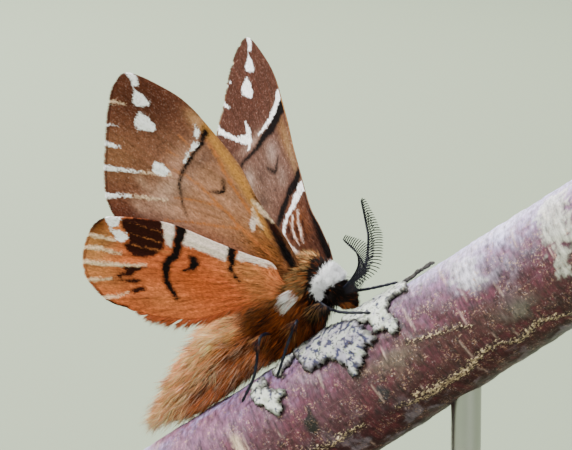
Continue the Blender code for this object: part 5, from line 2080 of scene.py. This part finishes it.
    def lichen(self, plate: Plate, material: Material) -> Object:
        """Builds one plate of lichen as a closed mesh that dips into the bark at its lobed edge.

        Args:
            plate: The plate.
            material: Material of the lichen.

        Returns:
            The object.
        """
        outline = np.array(plate.outline)
        low, high = outline.min(axis=0) - self.lichen_margin, outline.max(axis=0) + self.lichen_margin
        steps = np.ceil((high - low) / plate.cell).astype(int)
        bm = bmesh.new()
        bmesh.ops.create_grid(bm, x_segments=int(steps[0]), y_segments=int(steps[1]), size=1.0)
        flat = low + (spots_of(bm)[:, :2] + 1) / 2 * (high - low)
        edge = plate.field(flat)
        outside = [vert for vert, value in zip(bm.verts, edge) if value < -0.1]
        bmesh.ops.delete(bm, geom=outside, context="VERTS")
        flat, edge = flat[edge >= -0.1], edge[edge >= -0.1]
        angle = flat[:, 1] / ARC_PER_RADIAN
        share = (flat[:, 0] - low[0]) / (high[0] - low[0])
        height = self.broad_height * self.broad(flat[:, 0], angle)
        height += plate.thickness * smooth(edge, -0.08, 0.02)
        height += self.lichen_ruffle * self.ruffle(flat, 1.2, 3.0) + plate.curl * smooth(share, 0.1, 0.9)
        move_to(bm, self.place(flat[:, 0], angle, height))
        depth = plate.thickness if plate.curl else plate.thickness + self.lichen_root
        bmesh.ops.recalc_face_normals(bm, faces=bm.faces)
        bmesh.ops.solidify(bm, geom=bm.faces, thickness=depth)
        flat = self.unroll(spots_of(bm))
        obj = mesh_object(plate.name, bm, [material])
        spots = smooth(self.ruffle(flat, 1.5, 11.0), 0.38 - plate.blue, 0.44 - plate.blue)
        tint = layered(
            np.tile(rgb(plate.colour), (len(flat), 1)),
            (rgb("#A3AF90"), smooth(self.ruffle(flat, 1.5, 3.0), 0.05, 0.5) * 0.7),
            (rgb("#8E879A"), smooth(self.ruffle(flat, 0.8, 5.0) + plate.blue, 0.3, 0.5) * 0.7),
            (rgb("#26284A"), spots * 0.96),
            (rgb("#1C1917"), smooth(0.04 - np.abs(self.ruffle(flat, 0.7, 7.0)), 0.0, 0.02) * 0.9),
            # Painted shadow line along the plate's raised, lobed edge
            (rgb("#2E2A26"), smooth(0.08 - plate.field(flat), 0.0, 0.07) * plate.rim),
        )
        self.dress(obj, flat[:, 1], flat[:, 0], tint, np.full(len(flat), NO_MARK))
        return obj

    def unroll(self, places: Array) -> Array:
        """Where places on or near the bark lie on it when unrolled.

        Args:
            places: Places in the row frame.

        Returns:
            Millimetres along the twig and round it.
        """
        ahead, left, top, _ = self.frame()
        off = places - np.array(self.low_end)
        angle = np.arctan2(off @ top, off @ left) % (2 * math.pi)
        return np.column_stack([off @ ahead, angle * ARC_PER_RADIAN])

    def ruffle(self, plan: Array, scale: float, seed: float) -> Array:
        """A soft noise over the unrolled bark."""
        return np.array([noise.fractal(Vector((*p * scale, seed)), 0.7, 2.0, 3) for p in plan])

    def broad(self, along: Array, angle: Array) -> Array:
        """The noise of the bark's broad relief, which lichen follows too."""
        return np.array([noise.fractal(Vector(p * 0.35), 0.6, 2.0, 4) for p in self.place(along, angle)])


@dataclass(frozen=True)
class Stand:
    """The display stand: a varnished wooden base and two steel rods."""

    length: float = 68.0
    depth: float = 42.0
    height: float = 4.0
    corner: float = 7.0
    corner_steps: int = 16
    edge: float = 0.6
    edge_steps: int = 4
    rod_radius: float = 1.5
    rod_sides: int = 48
    sharp_degrees: float = 40.0

    def build(self) -> None:
        """Builds the base and the rods."""
        bm = bmesh.new()
        bmesh.ops.create_cube(bm, size=1.0)
        bmesh.ops.scale(bm, vec=(self.length, self.depth, self.height), verts=bm.verts)
        bmesh.ops.translate(bm, vec=(0.0, 0.0, self.height / 2), verts=bm.verts)
        self.round_off(bm, uprights(bm), self.corner, self.corner_steps)
        rim = [edge for edge in bm.edges if all(vert.co.z > self.height - 0.01 for vert in edge.verts)]
        self.round_off(bm, rim, self.edge, self.edge_steps)
        wood = PlainFinish("varnished wood", "#4A372F", 0.4, grain="#5E463A").material()
        base = mesh_object("base_board", bm, [wood])
        steel = PlainFinish("brushed steel", "#AEADAA", 0.32, metallic=1.0, ior=2.5).material()
        base.data.set_sharp_from_angle(angle=math.radians(self.sharp_degrees))
        place_piece(base, ("stand_base",))
        for node in ("stand_rod_front", "stand_rod_rear"):
            low, high = (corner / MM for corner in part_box(node))
            size = {"radius1": self.rod_radius, "radius2": self.rod_radius, "depth": high.z - low.z}
            bm = bmesh.new()
            bmesh.ops.create_cone(bm, cap_ends=True, segments=self.rod_sides, **size)
            bmesh.ops.translate(bm, vec=(low + high) / 2, verts=bm.verts)
            rod = mesh_object(node + "_bar", bm, [steel])
            rod.data.set_sharp_from_angle(angle=math.radians(self.sharp_degrees))
            place_piece(rod, (node,))

    def round_off(self, bm: BMesh, edges: list, radius: float, steps: int) -> None:
        """Rounds edges of a mesh off."""
        bmesh.ops.bevel(bm, geom=edges, offset=radius, segments=steps, profile=0.5, affect="EDGES")


@dataclass(frozen=True)
class Studio:
    """Floor, lights and the camera that keeps the photo's framing; azimuth and elevation are in degrees.

    Each soft square light has its place and its width in metres and its power in watts.
    """

    azimuth: float = 22.0
    elevation: float = 10.0
    distance_mm: float = 350.0
    target_mm: tuple = (-10.2, 0.0, 44.0)
    lens_mm: float = 220.3
    sensor_mm: float = 36.0
    clip_m: tuple = (0.01, 50.0)
    floor_mm: float = 5000.0
    floor_colour: str = "#8D987F"
    sky_colour: str = "#DDE3E2"
    sky_strength: float = 0.68
    lights: tuple = (
        ("key", (-0.35, -0.5, 0.75), 0.4, 17.5),
        ("fill", (0.7, -0.6, 0.4), 0.6, 5.0),
        ("back", (-0.5, 0.5, 0.55), 0.4, 14.0),
    )

    def build(self) -> None:
        """Builds the floor, the lights, the world and the camera."""
        bm = bmesh.new()
        bmesh.ops.create_grid(bm, x_segments=2, y_segments=2, size=self.floor_mm)
        finish = PlainFinish("matt floor", self.floor_colour, 0.9)
        mesh_object("studio_floor", bm, [finish.material()])
        for name, place, size, power in self.lights:
            data = bpy.data.lights.new(name, "AREA")
            data.size = size
            data.energy = power
            way = Vector(self.target_mm) * MM - Vector(place)
            self.aim(bpy.data.objects.new(name, data), place, way)
        world = bpy.data.worlds.new("studio")
        bpy.context.scene.world = world
        world.use_nodes = True
        sky = {"Color": to_linear(self.sky_colour), "Strength": self.sky_strength}
        connect(world.node_tree, world.node_tree.nodes["Background"], sky)
        self.camera()

    def aim(self, obj: Object, place: tuple | Vector, way: Vector) -> None:
        """Puts a light or a camera in its place.

        Args:
            obj: The light or camera.
            place: Its place in metres.
            way: The direction that it faces.
        """
        obj.location = place
        obj.rotation_euler = way.to_track_quat("-Z", "Y").to_euler()
        bpy.context.scene.collection.objects.link(obj)

    def camera(self) -> None:
        """Adds the camera."""
        a, e = math.radians(self.azimuth), math.radians(self.elevation)
        back = Vector((math.sin(a) * math.cos(e), -math.cos(a) * math.cos(e), math.sin(e)))
        data = bpy.data.cameras.new("photo_camera")
        data.lens = self.lens_mm
        data.sensor_width = self.sensor_mm
        data.clip_start, data.clip_end = self.clip_m
        camera = bpy.data.objects.new("photo_camera", data)
        self.aim(camera, (Vector(self.target_mm) + back * self.distance_mm) * MM, -back)
        bpy.context.scene.camera = camera


def main() -> None:
    """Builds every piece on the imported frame."""
    logging.basicConfig(level=logging.INFO, format="%(message)s")
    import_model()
    Stand().build()
    Twig().build()
    Moth().build()
    Studio().build()


if __name__ == "__main__":
    main()
